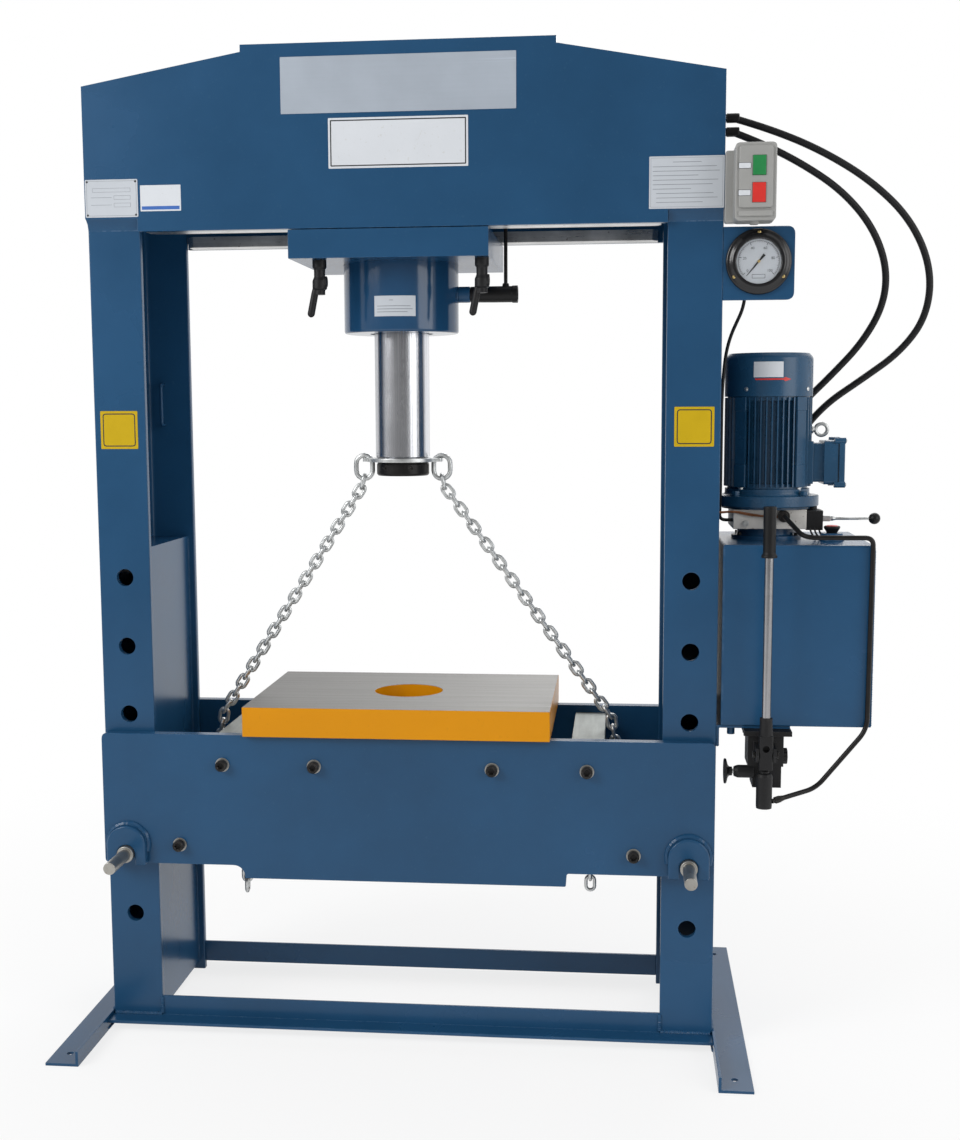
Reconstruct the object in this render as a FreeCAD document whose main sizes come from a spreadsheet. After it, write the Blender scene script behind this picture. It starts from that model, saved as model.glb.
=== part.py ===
import FreeCAD, Part
import math
import os
import Sketcher

# Workshop press: frame of two channel columns with a travelling cylinder,
# a liftable bed on pins, lifting chains and a side-mounted power unit.
# Millimetres. Z is up, +X towards the power unit, the front faces -Y.

doc = FreeCAD.newDocument("WorkshopPress")
sheet = doc.addObject("Spreadsheet::Sheet", "Sizes")
rows = []
nodes = []
fins_each_side = 5
grille_rows = 2
grille_pitch = 24
grille_slot = 9


# A length kept together with the sheet formula it comes from.
class Dim:
    def __init__(self, text, value):
        self.text = text
        self.value = value

    def __add__(self, other):
        o = dim(other)
        return Dim("(%s + %s)" % (self.text, o.text), self.value + o.value)

    def __radd__(self, other):
        return dim(other) + self

    def __sub__(self, other):
        o = dim(other)
        return Dim("(%s - %s)" % (self.text, o.text), self.value - o.value)

    def __rsub__(self, other):
        return dim(other) - self

    def __mul__(self, other):
        o = dim(other)
        return Dim("(%s * %s)" % (self.text, o.text), self.value * o.value)

    def __rmul__(self, other):
        return dim(other) * self

    def __truediv__(self, other):
        o = dim(other)
        return Dim("(%s / %s)" % (self.text, o.text), self.value / o.value)

    def __neg__(self):
        return Dim("(0 - %s)" % self.text, -self.value)


def dim(x):
    if isinstance(x, Dim):
        return x
    if x < 0:
        return Dim("(0 - %r)" % -float(x), float(x))
    return Dim("%r" % float(x), float(x))


def size(name, value, note):
    rows.append(name)
    r = str(len(rows) + 1)
    sheet.set("A" + r, name)
    sheet.set("B" + r, str(value))
    sheet.setAlias("B" + r, name)
    sheet.set("C" + r, note)
    return Dim("Sizes." + name, float(value))


def bind(thing, prop, d):
    d = dim(d)
    if "Sizes." in d.text:
        thing.setExpression(prop, d.text)


# Frame
frame_w = size("frame_w", 1300, "overall width of the welded frame")
top_z = size("top_z", 2068, "top of the crown")
crown_w = size("crown_w", 636, "width of the raised crown")
crown_step = size("crown_step", 14, "step at the crown ends")
shoulder_drop = size("shoulder_drop", 73, "head ends lie this much below the crown")
head_tall = size("head_tall", 364, "height of the head plates")
notch_up = size("notch_up", 26, "lower edge is raised this much over the columns")
head_t = size("head_t", 15, "head plate thickness")
col_depth = size("col_depth", 350, "channel depth, front to rear")
col_flange = size("col_flange", 110, "channel flange width")
flange_t = size("flange_t", 16, "channel flange thickness")
web_t = size("web_t", 12, "channel web thickness")
col_drop = size("col_drop", 83, "column tops lie this much below the crown")
pin_in = size("pin_in", 55, "pin holes lie this far in from the column's outer face")
pin_first = size("pin_first", 252, "height of the lowest pin hole")
pin_pitch = size("pin_pitch", 147, "pin hole spacing")
pin_hole = size("pin_hole", 36.2, "pin hole diameter")
liner_t = size("liner_t", 8, "thickness of the column liner")
liner_in = size("liner_in", 14, "liner set back from the flange tips")
liner_low = size("liner_low", 17, "liner lower edge")
liner_top = size("liner_top", 1048, "liner upper edge")
rail_w = size("rail_w", 45, "head rail width")
rail_tall = size("rail_tall", 24, "head rail height")
rail_end = size("rail_end", 12, "head rail stops short of the columns")
foot_len = size("foot_len", 800, "foot length, front to rear")
foot_w = size("foot_w", 70, "foot horizontal leg")
foot_tall = size("foot_tall", 32, "foot vertical leg")
foot_t = size("foot_t", 6, "foot leg thickness")
anchor_out = size("anchor_out", 35, "anchor holes lie this far out from the column")
anchor_y = size("anchor_y", 350, "anchor hole distance front and rear")
anchor_d = size("anchor_d", 14, "anchor hole diameter")
tie_leg = size("tie_leg", 49, "base rail leg")
tie_t = size("tie_t", 7, "base rail thickness")
tie_low = size("tie_low", 17, "base rail height above the floor")

# Bed
bed_end = size("bed_end", 2, "bed plates stop short of the frame's sides")
bed_t = size("bed_t", 25, "bed plate thickness")
bed_gap = size("bed_gap", 5, "bed plate clearance to the columns")
bed_top = size("bed_top", 657, "bed top with the pins in the second hole")
bed_low = size("bed_low", 374, "bed plate lower edge at its ends")
bed_deep = size("bed_deep", 346, "bed plate lower edge in the middle")
bed_step = size("bed_step", 342, "half width of the deep middle")
saddle_w = size("saddle_w", 85, "saddle width")
saddle_top = size("saddle_top", 459, "top of the saddles")
saddle_t = size("saddle_t", 20, "saddle thickness")
spacer_w = size("spacer_w", 70, "spacer bar width")
spacer_out = size("spacer_out", 385, "outer spacer distance")
spacer_in = size("spacer_in", 188, "inner spacer distance")
spacer_top = size("spacer_top", 640, "upper spacer top")
spacer_low = size("spacer_low", 548, "upper spacer bottom")
foot_bar_x = size("foot_bar_x", 482, "lower spacer distance")
foot_bar_z = size("foot_bar_z", 417, "lower spacer centre height")
foot_bar_w = size("foot_bar_w", 60, "lower spacer section")
bed_bolt_z = size("bed_bolt_z", 593, "upper row of bed screws")
bolt_head = size("bolt_head", 24, "cap screw head diameter")
bolt_tall = size("bolt_tall", 15, "cap screw head height")
washer_d = size("washer_d", 30, "washer diameter")
washer_t = size("washer_t", 3, "washer thickness")
bolster_w = size("bolster_w", 646, "bolster plate width")
bolster_d = size("bolster_d", 440, "bolster plate depth")
bolster_t = size("bolster_t", 63, "bolster plate thickness")
bolster_x = size("bolster_x", -14, "bolster plate centre")
bolster_hole = size("bolster_hole", 150, "bolster plate bore")
pin_d = size("pin_d", 36, "support pin diameter")
pin_stub = size("pin_stub", 26, "support pin handle diameter")
pin_grip = size("pin_grip", 98, "support pin handle length")
pin_lip = size("pin_lip", 9, "pin stands out of the saddle by this")

# Carriage
car_x = size("car_x", -22, "carriage position along the head")
car_w = size("car_w", 410, "carriage plate width")
car_t = size("car_t", 58, "carriage plate thickness")
car_gap = size("car_gap", 1.5, "carriage plate clearance below the head")
cyl_d = size("cyl_d", 246, "cylinder diameter")
cyl_hang = size("cyl_hang", 204, "cylinder hangs this far below the head")
cyl_rise = size("cyl_rise", 251, "cylinder rises this far into the head")
axle_in = size("axle_in", 45, "roller axles lie this far in from the plate ends")
roller_d = size("roller_d", 50, "roller diameter")
roller_w = size("roller_w", 28, "roller width")
axle_d = size("axle_d", 16, "roller axle diameter")
clamp_left = size("clamp_left", 57, "left clamp screw from its plate end")
clamp_right = size("clamp_right", 17, "right clamp screw from its plate end")
clamp_y = size("clamp_y", 150, "clamp screws ahead of the centre plane")
shift_up = size("shift_up", 82, "shift handle above the cylinder's lower face")
stay_gap = size("stay_gap", 20, "stay stands this far beyond the carriage plate")
stay_end = size("stay_end", 22, "shift handle goes on past the stay")
grip_d = size("grip_d", 37, "shift grip diameter")

# Ram
rod_d = size("rod_d", 118, "ram rod diameter")
ram_out = size("ram_out", 274, "ram stroke drawn at rest, cylinder to the chain ring")
ring_t = size("ring_t", 8, "chain ring thickness")
ring_d = size("ring_d", 156, "chain ring diameter")
nose_tall = size("nose_tall", 30, "ram nose height")
nose_d = size("nose_d", 114, "ram nose diameter")
ear_x = size("ear_x", 70, "ear hole distance from the ram axis")
ear_hole = size("ear_hole", 16, "ear hole diameter")
chain_wire = size("chain_wire", 8, "chain wire diameter")
chain_pitch = size("chain_pitch", 24, "chain pitch")
chain_wide = size("chain_wide", 27, "chain link width")
end_wire = size("end_wire", 11, "end link wire")
end_wide = size("end_wide", 47, "end link width")
end_long = size("end_long", 62, "end link length")
chain_out = size("chain_out", 51, "chain meets the bed this far outside the outer spacer")
tail_z = size("tail_z", 262, "lowest link of the chain tails")

# Power unit
tank_gap = size("tank_gap", 9, "tank stands off the column")
tank_w = size("tank_w", 303, "tank width")
tank_d = size("tank_d", 352, "tank depth")
tank_low = size("tank_low", 689, "tank bottom")
tank_top = size("tank_top", 1062, "tank top")
motor_out = size("motor_out", 103, "motor axis from the tank's inner side")
motor_y = size("motor_y", 20, "motor axis, behind the centre plane")
neck_d = size("neck_d", 124, "coupling housing diameter")
block_low = size("block_low", 1085, "valve block underside")
block_top = size("block_top", 1126, "valve block top")
mflange_d = size("mflange_d", 218, "motor flange diameter")
mflange_t = size("mflange_t", 28, "motor flange thickness")
body_d = size("body_d", 168, "motor body diameter over the frame")
fin_d = size("fin_d", 184, "motor diameter over the fins")
body_top = size("body_top", 1362, "motor body top")
cowl_d = size("cowl_d", 184, "fan cowl diameter")
cowl_top = size("cowl_top", 1452, "fan cowl top")
pipe_d = size("pipe_d", 10, "pressure pipe diameter")
pipe_y = size("pipe_y", 184, "pressure pipe ahead of the centre plane")
lever_in = size("lever_in", 17, "pump lever is this much nearer the column than the motor axis")
lever_y = size("lever_y", 236, "pump lever ahead of the centre plane")
lever_d = size("lever_d", 18, "pump lever tube diameter")
lever_top = size("lever_top", 1144, "top of the lever grip")
pivot_z = size("pivot_z", 643, "pump lever pivot height")
hose_d = size("hose_d", 15, "pressure hose diameter")
hose_up_in = size("hose_up_in", 232, "outer hose above the head's lower edge")
hose_down_in = size("hose_down_in", 204, "inner hose above the head's lower edge")

pump_left = size("pump_left", 32, "pump casting, column side of the lever")
pump_right = size("pump_right", 40, "pump casting, far side of the lever")
pump_rear = size("pump_rear", 120, "pump casting ahead of the centre plane at its rear")
pump_flange = size("pump_flange", 10, "pump casting's flange thickness")
barrel_d = size("barrel_d", 32, "pump barrel diameter")
barrel_drop = size("barrel_drop", 112, "pump barrel hangs this far below the pivot")
barrel_tall = size("barrel_tall", 68, "pump barrel height")
shelf_leg = size("shelf_leg", 44, "tank shelf, upright leg")
shelf_out = size("shelf_out", 150, "tank shelf stands out of the column")
shelf_t = size("shelf_t", 6, "tank shelf thickness")
tank_round = size("tank_round", 6, "rounding of the tank's upper edges")
fin_pitch = size("fin_pitch", 16, "spacing of the motor fins")
fin_t = size("fin_t", 3.2, "motor fin thickness at the tip")
motor_pad = size("motor_pad", 40, "width of the flat corners between the groups of fins")
nut_d = size("nut_d", 26, "hose nut across its corners")
nut_t = size("nut_t", 12, "hose nut thickness")
stem_d = size("stem_d", 18, "hose fitting diameter")
ferrule_d = size("ferrule_d", 19, "hose ferrule diameter")
hose_start = size("hose_start", 26, "hoses leave their fittings this far from the column")
elbow_out = size("elbow_out", 156, "outer hose's elbow from the column")
elbow_in = size("elbow_in", 98, "inner hose's elbow from the column")
elbow_y = size("elbow_y", 150, "elbows behind the centre plane")

# Plates
plate_t = size("plate_t", 1, "plate thickness")
sticker_t = size("sticker_t", 0.6, "sticker thickness")
header_left = size("header_left", 236, "header plate, left of the centre plane")
header_w = size("header_w", 475, "header plate width")
header_up = size("header_up", 226, "header plate above the head's lower edge")
header_tall = size("header_tall", 111, "header plate height")
model_left = size("model_left", 140, "second plate, left of the centre plane")
model_w = size("model_w", 283, "second plate width")
model_up = size("model_up", 117, "second plate above the head's lower edge")
model_tall = size("model_tall", 99, "second plate height")
guide_w = size("guide_w", 147, "right plate width")
guide_up = size("guide_up", 26, "right plate above the head's lower edge")
guide_tall = size("guide_tall", 101, "right plate height")
rating_w = size("rating_w", 111, "left plate width")
rating_up = size("rating_up", 29, "left plate above the head's lower edge")
rating_tall = size("rating_tall", 76, "left plate height")
plate_in = size("plate_in", 2, "side plates lie this far in from the head's ends")
sign_w = size("sign_w", 80, "column sign width and height")
sign_in = size("sign_in", 13, "column signs lie this far in from the columns' outer faces")
sign_drop = size("sign_drop", 443, "column signs' lower edges below the head")
band_w = size("band_w", 85, "small sticker width")
band_tall = size("band_tall", 52, "small sticker height")
band_in = size("band_in", 118, "small sticker lies this far in from the head's end")
band_up = size("band_up", 40, "small sticker above the head's lower edge")

# Controls
box_round = size("box_round", 7, "rounding of the switch box's corners")
box_w = size("box_w", 79, "switch box width")
box_drop = size("box_drop", 8, "switch box bottom below the head's lower edge")
box_tall = size("box_tall", 148, "switch box height")
box_front = size("box_front", 262, "switch box front ahead of the centre plane")
box_back = size("box_back", 170, "switch box back ahead of the centre plane")
box_x = size("box_x", 15, "switch box stands off the column")
button_w = size("button_w", 25, "button width")
button_tall = size("button_tall", 37, "button height")
bracket_w = size("bracket_w", 140, "gauge bracket width")
bracket_drop = size("bracket_drop", 153, "gauge bracket lower edge below the head")
bracket_gap = size("bracket_gap", 9, "gauge bracket upper edge below the head")
bracket_t = size("bracket_t", 6, "gauge bracket thickness")
gauge_out = size("gauge_out", 69, "gauge centre from the column")
gauge_drop = size("gauge_drop", 78, "gauge centre below the head")
gauge_d = size("gauge_d", 130, "gauge flange diameter")
dial_d = size("dial_d", 88, "gauge dial diameter")
case_d = size("case_d", 100, "gauge case diameter behind the bracket")
run_gap = size("run_gap", 0.05, "radial clearance of running fits")
slip_gap = size("slip_gap", 0.3, "clearance where moving pieces lie beside each other")
doc.recompute()

half = frame_w / 2
col_y = col_depth / 2
head_y = col_y + head_t
col_in = half - col_flange
web_in = half - web_t
bed_in = col_y + bed_gap
bed_out = bed_in + bed_t
saddle_y = bed_out + saddle_t
pin_x = half - pin_in
pin_z = pin_first + pin_pitch
anchor_x = half + anchor_out
bed_w = frame_w - bed_end * 2
head_low = top_z - head_tall
shoulder_z = top_z - shoulder_drop
col_top = top_z - col_drop
cyl_low = head_low - cyl_hang
cyl_top = head_low + cyl_rise
axle_x = car_w / 2 - axle_in
stay_x = car_w / 2 + stay_gap
handle_end = stay_x + stay_end
shift_z = cyl_low + shift_up
ring_z = cyl_low - ram_out
nose_low = ring_z - nose_tall
chain_x = spacer_out + chain_out
tank_x = half + tank_gap
motor_x = tank_x + motor_out
lever_x = motor_x - lever_in
hose_up = head_low + hose_up_in
hose_down = head_low + hose_down_in
box_low = head_low - box_drop
bracket_low = head_low - bracket_drop
bracket_top = head_low - bracket_gap
gauge_x = half + gauge_out
gauge_z = head_low - gauge_drop


def min_of(a, b):
    return a if dim(a).value < dim(b).value else b


def max_of(a, b):
    return b if dim(a).value < dim(b).value else a


PLANES = {"xy": "XY_Plane", "xz": "XZ_Plane", "yz": "YZ_Plane"}
V = FreeCAD.Vector


def body(name):
    b = doc.addObject("PartDesign::Body", name)
    b.Label = name
    return b


def sketch(b, plane, level, loops=(), rings=()):
    sk = b.newObject("Sketcher::SketchObject", "Sketch")
    for feature in b.Origin.OriginFeatures:
        if feature.Role == PLANES[plane]:
            sk.AttachmentSupport = [(feature, "")]
    sk.MapMode = "FlatFace"
    lift = -dim(level) if plane == "xz" else dim(level)
    sk.AttachmentOffset = FreeCAD.Placement(V(0, 0, lift.value), FreeCAD.Rotation())
    bind(sk, "AttachmentOffset.Base.z", lift)
    for loop in loops:
        pts = [(dim(a), dim(c)) for a, c in loop]
        n = len(pts)
        first = sk.GeometryCount
        lines = []
        joins = []
        for i in range(n):
            p, q = pts[i], pts[(i + 1) % n]
            lines.append(Part.LineSegment(V(p[0].value, p[1].value, 0),
                                          V(q[0].value, q[1].value, 0)))
            joins.append(Sketcher.Constraint("Coincident", first + i, 2, first + (i + 1) % n, 1))
        sk.addGeometry(lines, False)
        base = sk.ConstraintCount
        for i in range(n):
            joins.append(Sketcher.Constraint("DistanceX", -1, 1, first + i, 1, pts[i][0].value))
            joins.append(Sketcher.Constraint("DistanceY", -1, 1, first + i, 1, pts[i][1].value))
        sk.addConstraint(joins)
        for i in range(n):
            bind(sk, "Constraints[%d]" % (base + n + 2 * i), pts[i][0])
            bind(sk, "Constraints[%d]" % (base + n + 2 * i + 1), pts[i][1])
    for a, c, diameter in rings:
        a, c, r = dim(a), dim(c), dim(diameter) / 2
        g = sk.addGeometry(Part.Circle(V(a.value, c.value, 0), V(0, 0, 1), r.value), False)
        base = sk.ConstraintCount
        sk.addConstraint([Sketcher.Constraint("DistanceX", -1, 1, g, 3, a.value),
                          Sketcher.Constraint("DistanceY", -1, 1, g, 3, c.value),
                          Sketcher.Constraint("Radius", g, r.value)])
        bind(sk, "Constraints[%d]" % base, a)
        bind(sk, "Constraints[%d]" % (base + 1), c)
        bind(sk, "Constraints[%d]" % (base + 2), r)
    return sk


# Material between two levels along the plane's world axis.
def add(b, plane, lo, hi, loops=(), rings=()):
    lo, hi = dim(lo), dim(hi)
    sk = sketch(b, plane, hi if plane == "xz" else lo, loops, rings)
    pad = b.newObject("PartDesign::Pad", "Pad")
    pad.Profile = sk
    pad.Length = (hi - lo).value
    bind(pad, "Length", hi - lo)
    return pad


# Material removed between two levels along the plane's world axis.
def cut(b, plane, lo, hi, loops=(), rings=()):
    lo, hi = dim(lo), dim(hi)
    sk = sketch(b, plane, lo if plane == "xz" else hi, loops, rings)
    pocket = b.newObject("PartDesign::Pocket", "Pocket")
    pocket.Profile = sk
    pocket.Length = (hi - lo).value
    bind(pocket, "Length", hi - lo)
    return pocket


def box(x0, x1, y0, y1):
    return [(x0, y0), (x1, y0), (x1, y1), (x0, y1)]


# Loop of n equal sides round a centre, with corners on radius r.
def ngon(x, y, r, n, first=0.5):
    loop = []
    for k in range(n):
        a = 2 * math.pi * (k + first) / n
        loop.append((x + r * math.cos(a), y + r * math.sin(a)))
    return loop


# The same with the flats, not the corners, at radius r: a hole that a round piece fits.
def flats(x, y, r, n):
    return ngon(x, y, r / math.cos(math.pi / n), n)


# Height on a circle at a distance from its middle plane, in the sheet and as a number.
def on_circle(diameter, away):
    text = "sqrt(pow(%s / 2; 2) - pow(%s; 2))" % (diameter.text, dim(away).text)
    return Dim(text, math.sqrt((diameter.value / 2) ** 2 - dim(away).value ** 2))


# A point turned about the axis by a number of quarter turns.
def quarter(point, turns):
    x, y = point
    for _ in range(turns):
        x, y = -y, x
    return x, y


# Solid turned about the body's own Z axis, profile given as radius and height.
def turn(b, profile):
    sk = sketch(b, "xz", 0, [profile])
    rev = b.newObject("PartDesign::Revolution", "Revolution")
    rev.Profile = sk
    rev.ReferenceAxis = (sk, ["V_Axis"])
    rev.Angle = 360
    return rev


TURNS = {
    "z": FreeCAD.Rotation(),
    "-z": FreeCAD.Rotation(V(1, 0, 0), 180),
    "y": FreeCAD.Rotation(V(1, 0, 0), -90),
    "-y": FreeCAD.Rotation(V(1, 0, 0), 90),
    "x": FreeCAD.Rotation(V(0, 1, 0), 90),
    "-x": FreeCAD.Rotation(V(0, 1, 0), -90),
}


# Body moved to a point, its own Z axis laid along a world axis.
def stand(b, x, y, z, axis="z"):
    x, y, z = dim(x), dim(y), dim(z)
    b.Placement = FreeCAD.Placement(V(x.value, y.value, z.value), TURNS[axis])
    bind(b, "Placement.Base.x", x)
    bind(b, "Placement.Base.y", y)
    bind(b, "Placement.Base.z", z)


# Fillet on the edges of a feature whose two ends the pick function accepts.
def soften(b, feature, radius, pick):
    doc.recompute()
    names = []
    for i, edge in enumerate(feature.Shape.Edges):
        a = edge.Vertexes[0].Point
        c = edge.Vertexes[-1].Point
        if pick(a, c):
            names.append("Edge%d" % (i + 1))
    fillet = b.newObject("PartDesign::Fillet", "Fillet")
    fillet.Base = (feature, names)
    fillet.Radius = radius.value
    bind(fillet, "Radius", radius)


def near(a, b, tol=0.6):
    return abs(a - b) < tol


# One exported node, from one body or from several alike.
def node(name, *things):
    if len(things) == 1:
        thing = things[0]
    else:
        thing = doc.addObject("Part::Compound", name)
        thing.Links = list(things)
    thing.Label = name
    nodes.append((name, thing))
    return thing


# Head
for name, side in (("head_front_plate", -1), ("head_rear_plate", 1)):
    b = body(name)
    outline = [
        (-half, head_low + notch_up), (-col_in, head_low + notch_up), (-col_in, head_low),
        (col_in, head_low), (col_in, head_low + notch_up), (half, head_low + notch_up),
        (half, shoulder_z), (crown_w / 2, top_z - crown_step), (crown_w / 2, top_z),
        (-crown_w / 2, top_z), (-crown_w / 2, top_z - crown_step), (-half, shoulder_z),
    ]
    lo, hi = (-head_y, -col_y) if side < 0 else (col_y, head_y)
    add(b, "xz", lo, hi, [outline])
    # concave weld between the raised edge and the column face
    weld = [(side * col_y, head_low + 2), (side * (col_y + head_t * 0.32), head_low + notch_up * 0.62),
            (side * head_y, head_low + notch_up), (side * col_y, head_low + notch_up)]
    add(b, "yz", -half + 1, -col_in - 1, [weld])
    add(b, "yz", col_in + 1, half - 1, [weld])
    node(name, b)

rails = []
for side in (-1, 1):
    b = body("rail")
    end = col_in - rail_end
    y_far, y_in = side * col_y, side * (col_y - rail_w)
    outline = [(-end, y_far), (end, y_far), (end, y_in + side * 12), (end - 12, y_in),
               (-end + 12, y_in), (-end, y_in + side * 12)]
    add(b, "xy", head_low, head_low + rail_tall, [outline])
    rails.append(b)
node("head_rails", *rails)

# Columns
for name, side in (("left_column", -1), ("right_column", 1)):
    b = body(name)
    outline = [
        (side * half, -col_y), (side * half, col_y), (side * col_in, col_y),
        (side * col_in, col_y - flange_t), (side * web_in, col_y - flange_t),
        (side * web_in, -col_y + flange_t), (side * col_in, -col_y + flange_t),
        (side * col_in, -col_y),
    ]
    add(b, "xy", 0, col_top, [outline])
    # round hole for the pin in use, many-sided ones of the same width for the spare heights
    spare = [flats(side * pin_x, pin_first + pin_pitch * k, pin_hole / 2, 12) for k in (0, 2, 3, 4, 5)]
    cut(b, "xz", -col_y - 1, col_y + 1, spare, [(side * pin_x, pin_z, pin_hole)])
    if side > 0:
        cut(b, "yz", web_in - 1, half + 1, [ngon(0, hose_up, 9.5, 12), ngon(0, hose_down, 9.5, 12)])
    node(name, b)

liners = []
for side in (-1, 1):
    b = body("liner")
    x_in = col_in + liner_in
    outline = [
        (side * x_in, liner_low), (side * x_in, liner_top), (side * web_in, liner_top),
        (side * web_in, liner_top - liner_t), (side * (x_in + liner_t), liner_top - liner_t),
        (side * (x_in + liner_t), liner_low),
    ]
    add(b, "xz", -col_y + flange_t, col_y - flange_t, [outline])
    liners.append(b)
node("column_liners", *liners)

feet = []
for side in (-1, 1):
    b = body("foot")
    outline = [
        (side * half, 0), (side * (half + foot_w), 0), (side * (half + foot_w), foot_t),
        (side * (half + foot_t), foot_t), (side * (half + foot_t), foot_tall), (side * half, foot_tall),
    ]
    add(b, "xz", -foot_len / 2, foot_len / 2, [outline])
    cut(b, "xy", -1, foot_t + 1, [], [(side * anchor_x, anchor_y, anchor_d),
                                      (side * anchor_x, -anchor_y, anchor_d)])
    feet.append(b)
node("feet", *feet)

ties = []
for side in (-1, 1):
    b = body("tie")
    front = side * (col_y + tie_leg - tie_t)
    outline = [
        (side * (col_y - tie_t), tie_low), (front, tie_low), (front, tie_low + tie_t),
        (side * col_y, tie_low + tie_t), (side * col_y, tie_low + tie_leg),
        (side * (col_y - tie_t), tie_low + tie_leg),
    ]
    add(b, "yz", -half, half, [outline])
    lo, hi = (-col_y, -col_y + tie_t + 1) if side < 0 else (col_y - tie_t - 1, col_y)
    cut(b, "xy", tie_low - 1, tie_low + tie_leg + 1,
        [box(-half - 1, -col_in, lo, hi), box(col_in, half + 1, lo, hi)])
    ties.append(b)
node("base_rails", *ties)

# Closed solid from rings of corners, each ring joined to the next one.
def skin(rings, closed):
    faces = []
    sides = len(rings[0])
    for i in range(len(rings) if closed else len(rings) - 1):
        ring, other = rings[i], rings[(i + 1) % len(rings)]
        for j in range(sides):
            k = (j + 1) % sides
            faces.append(Part.Face(Part.makePolygon([ring[j], other[j], other[k], ring[k], ring[j]])))
    if not closed:
        for ring in (rings[0], rings[-1]):
            faces.append(Part.Face(Part.makePolygon(ring + [ring[0]])))
    solid = Part.Solid(Part.Shell(faces))
    if solid.Volume < 0:
        solid.reverse()
    return solid


# Corners of the section square to the first run.
def first_ring(here, way, r, sides):
    turned = FreeCAD.Rotation(V(0, 0, 1), way)
    ring = []
    for k in range(sides):
        a = 2 * math.pi * (k + 0.5) / sides
        ring.append(here + turned.multVec(V(r * math.cos(a), r * math.sin(a), 0)))
    return ring


# Start, middle and end of the arc that rounds the corner between two runs.
def corner_arc(p, q, s, radius):
    u = (p - q).normalize()
    w = (s - q).normalize()
    half_turn = (math.pi - u.getAngle(w)) / 2
    t = radius * math.tan(half_turn)
    mid = q + (u + w).normalize() * (radius / math.cos(half_turn) - radius)
    return q + u * t, mid, q + w * t


# Rigid bar with bends, every bend as a few short chords.
def bar(points, radii, r, sides, steps=3):
    pts = [V(*p) for p in points]
    path = [pts[0]]
    for i in range(1, len(pts) - 1):
        a, mid, c = corner_arc(pts[i - 1], pts[i], pts[i + 1], radii[i - 1])
        path += Part.Arc(a, mid, c).toShape().discretize(steps + 1)
    path.append(pts[-1])
    rings = [first_ring(path[0], path[1] - path[0], r, sides)]
    for i in range(1, len(path)):
        d = (path[i] - path[i - 1]).normalize()
        m = d
        if i + 1 < len(path):
            m = (d + (path[i + 1] - path[i]).normalize()).normalize()
        rings.append([q + d * ((path[i] - q).dot(m) / d.dot(m)) for q in rings[-1]])
    return skin(rings, False)


# Bendable tube along straight runs joined by tangent arcs.
def tube(points, radii, r, sides):
    pts = [V(*p) for p in points]
    edges = []
    here = pts[0]
    for i in range(1, len(pts) - 1):
        a, mid, c = corner_arc(pts[i - 1], pts[i], pts[i + 1], radii[i - 1])
        if (a - here).Length > 1e-6:
            edges.append(Part.makeLine(here, a))
        edges.append(Part.Arc(a, mid, c).toShape())
        here = c
    edges.append(Part.makeLine(here, pts[-1]))
    ring = first_ring(pts[0], pts[1] - pts[0], r, sides)
    return Part.Wire(edges).makePipeShell([Part.makePolygon(ring + [ring[0]])], True, False)


# Share of a round section that a regular one with corners on the same circle fills.
def fill(sides):
    return sides * math.sin(2 * math.pi / sides) / (2 * math.pi)


# bent bar on the left rear flange, for hanging tools
hook = doc.addObject("Part::Feature", "stowage_hook")
hx, hy = -half.value + 48, col_y.value - flange_t.value
hook_out, hook_bend, hook_r = 22, 9.0, 4.0
hook_up = head_low.value - 306
hook_low = hook_up - 92
hook.Shape = bar([(hx, hy, hook_up), (hx, hy - hook_out, hook_up), (hx, hy - hook_out, hook_low),
                  (hx, hy, hook_low)], [hook_bend, hook_bend], hook_r, 8)
node("stowage_hook", hook)

# Plates on the head
plates = []
for x0, wide, up, tall in (
    (-header_left, header_w, header_up, header_tall),
    (-model_left, model_w, model_up, model_tall),
    (half - guide_w - plate_in / 2, guide_w, guide_up, guide_tall),
    (plate_in - half, rating_w, rating_up, rating_tall),
):
    b = body("plate")
    z0 = head_low + up
    add(b, "xz", -head_y - plate_t, -head_y, [box(x0, x0 + wide, z0, z0 + tall)])
    plates.append(b)
node("label_plates", *plates)

stickers = []
for x0, wide, z0, tall, y in (
    (sign_in - half, sign_w, head_low - sign_drop, sign_w, -col_y),
    (half - sign_in - sign_w, sign_w, head_low - sign_drop, sign_w, -col_y),
    (band_in - half, band_w, head_low + band_up, band_tall, -head_y),
):
    b = body("sticker")
    add(b, "xz", y - sticker_t, y, [box(x0, x0 + wide, z0, z0 + tall)])
    stickers.append(b)
node("stickers", *stickers)

# Bed
for name, side in (("bed_front_plate", -1), ("bed_rear_plate", 1)):
    b = body(name)
    w = bed_w / 2
    slot = pin_hole / 2
    outline = [
        (-w, bed_low + 14), (-w + 8, bed_low), (-pin_x - slot, bed_low), (-pin_x - slot, pin_z),
        (-pin_x + slot, pin_z), (-pin_x + slot, bed_low), (-bed_step - 18, bed_low),
        (-bed_step, bed_low - 14), (-bed_step, bed_deep), (bed_step, bed_deep),
        (bed_step + 6, bed_low), (pin_x - slot, bed_low), (pin_x - slot, pin_z),
        (pin_x + slot, pin_z), (pin_x + slot, bed_low), (w - 8, bed_low), (w, bed_low + 14),
        (w, bed_top - 10), (w - 10, bed_top), (-w + 10, bed_top), (-w, bed_top - 10),
    ]
    lo, hi = (-bed_out, -bed_in) if side < 0 else (bed_in, bed_out)
    add(b, "xz", lo, hi, [outline])
    cut(b, "xz", lo - 1, hi + 1, [], [(-pin_x, pin_z, pin_hole)])
    cut(b, "xz", lo - 1, hi + 1, [], [(pin_x, pin_z, pin_hole)])
    node(name, b)

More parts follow.
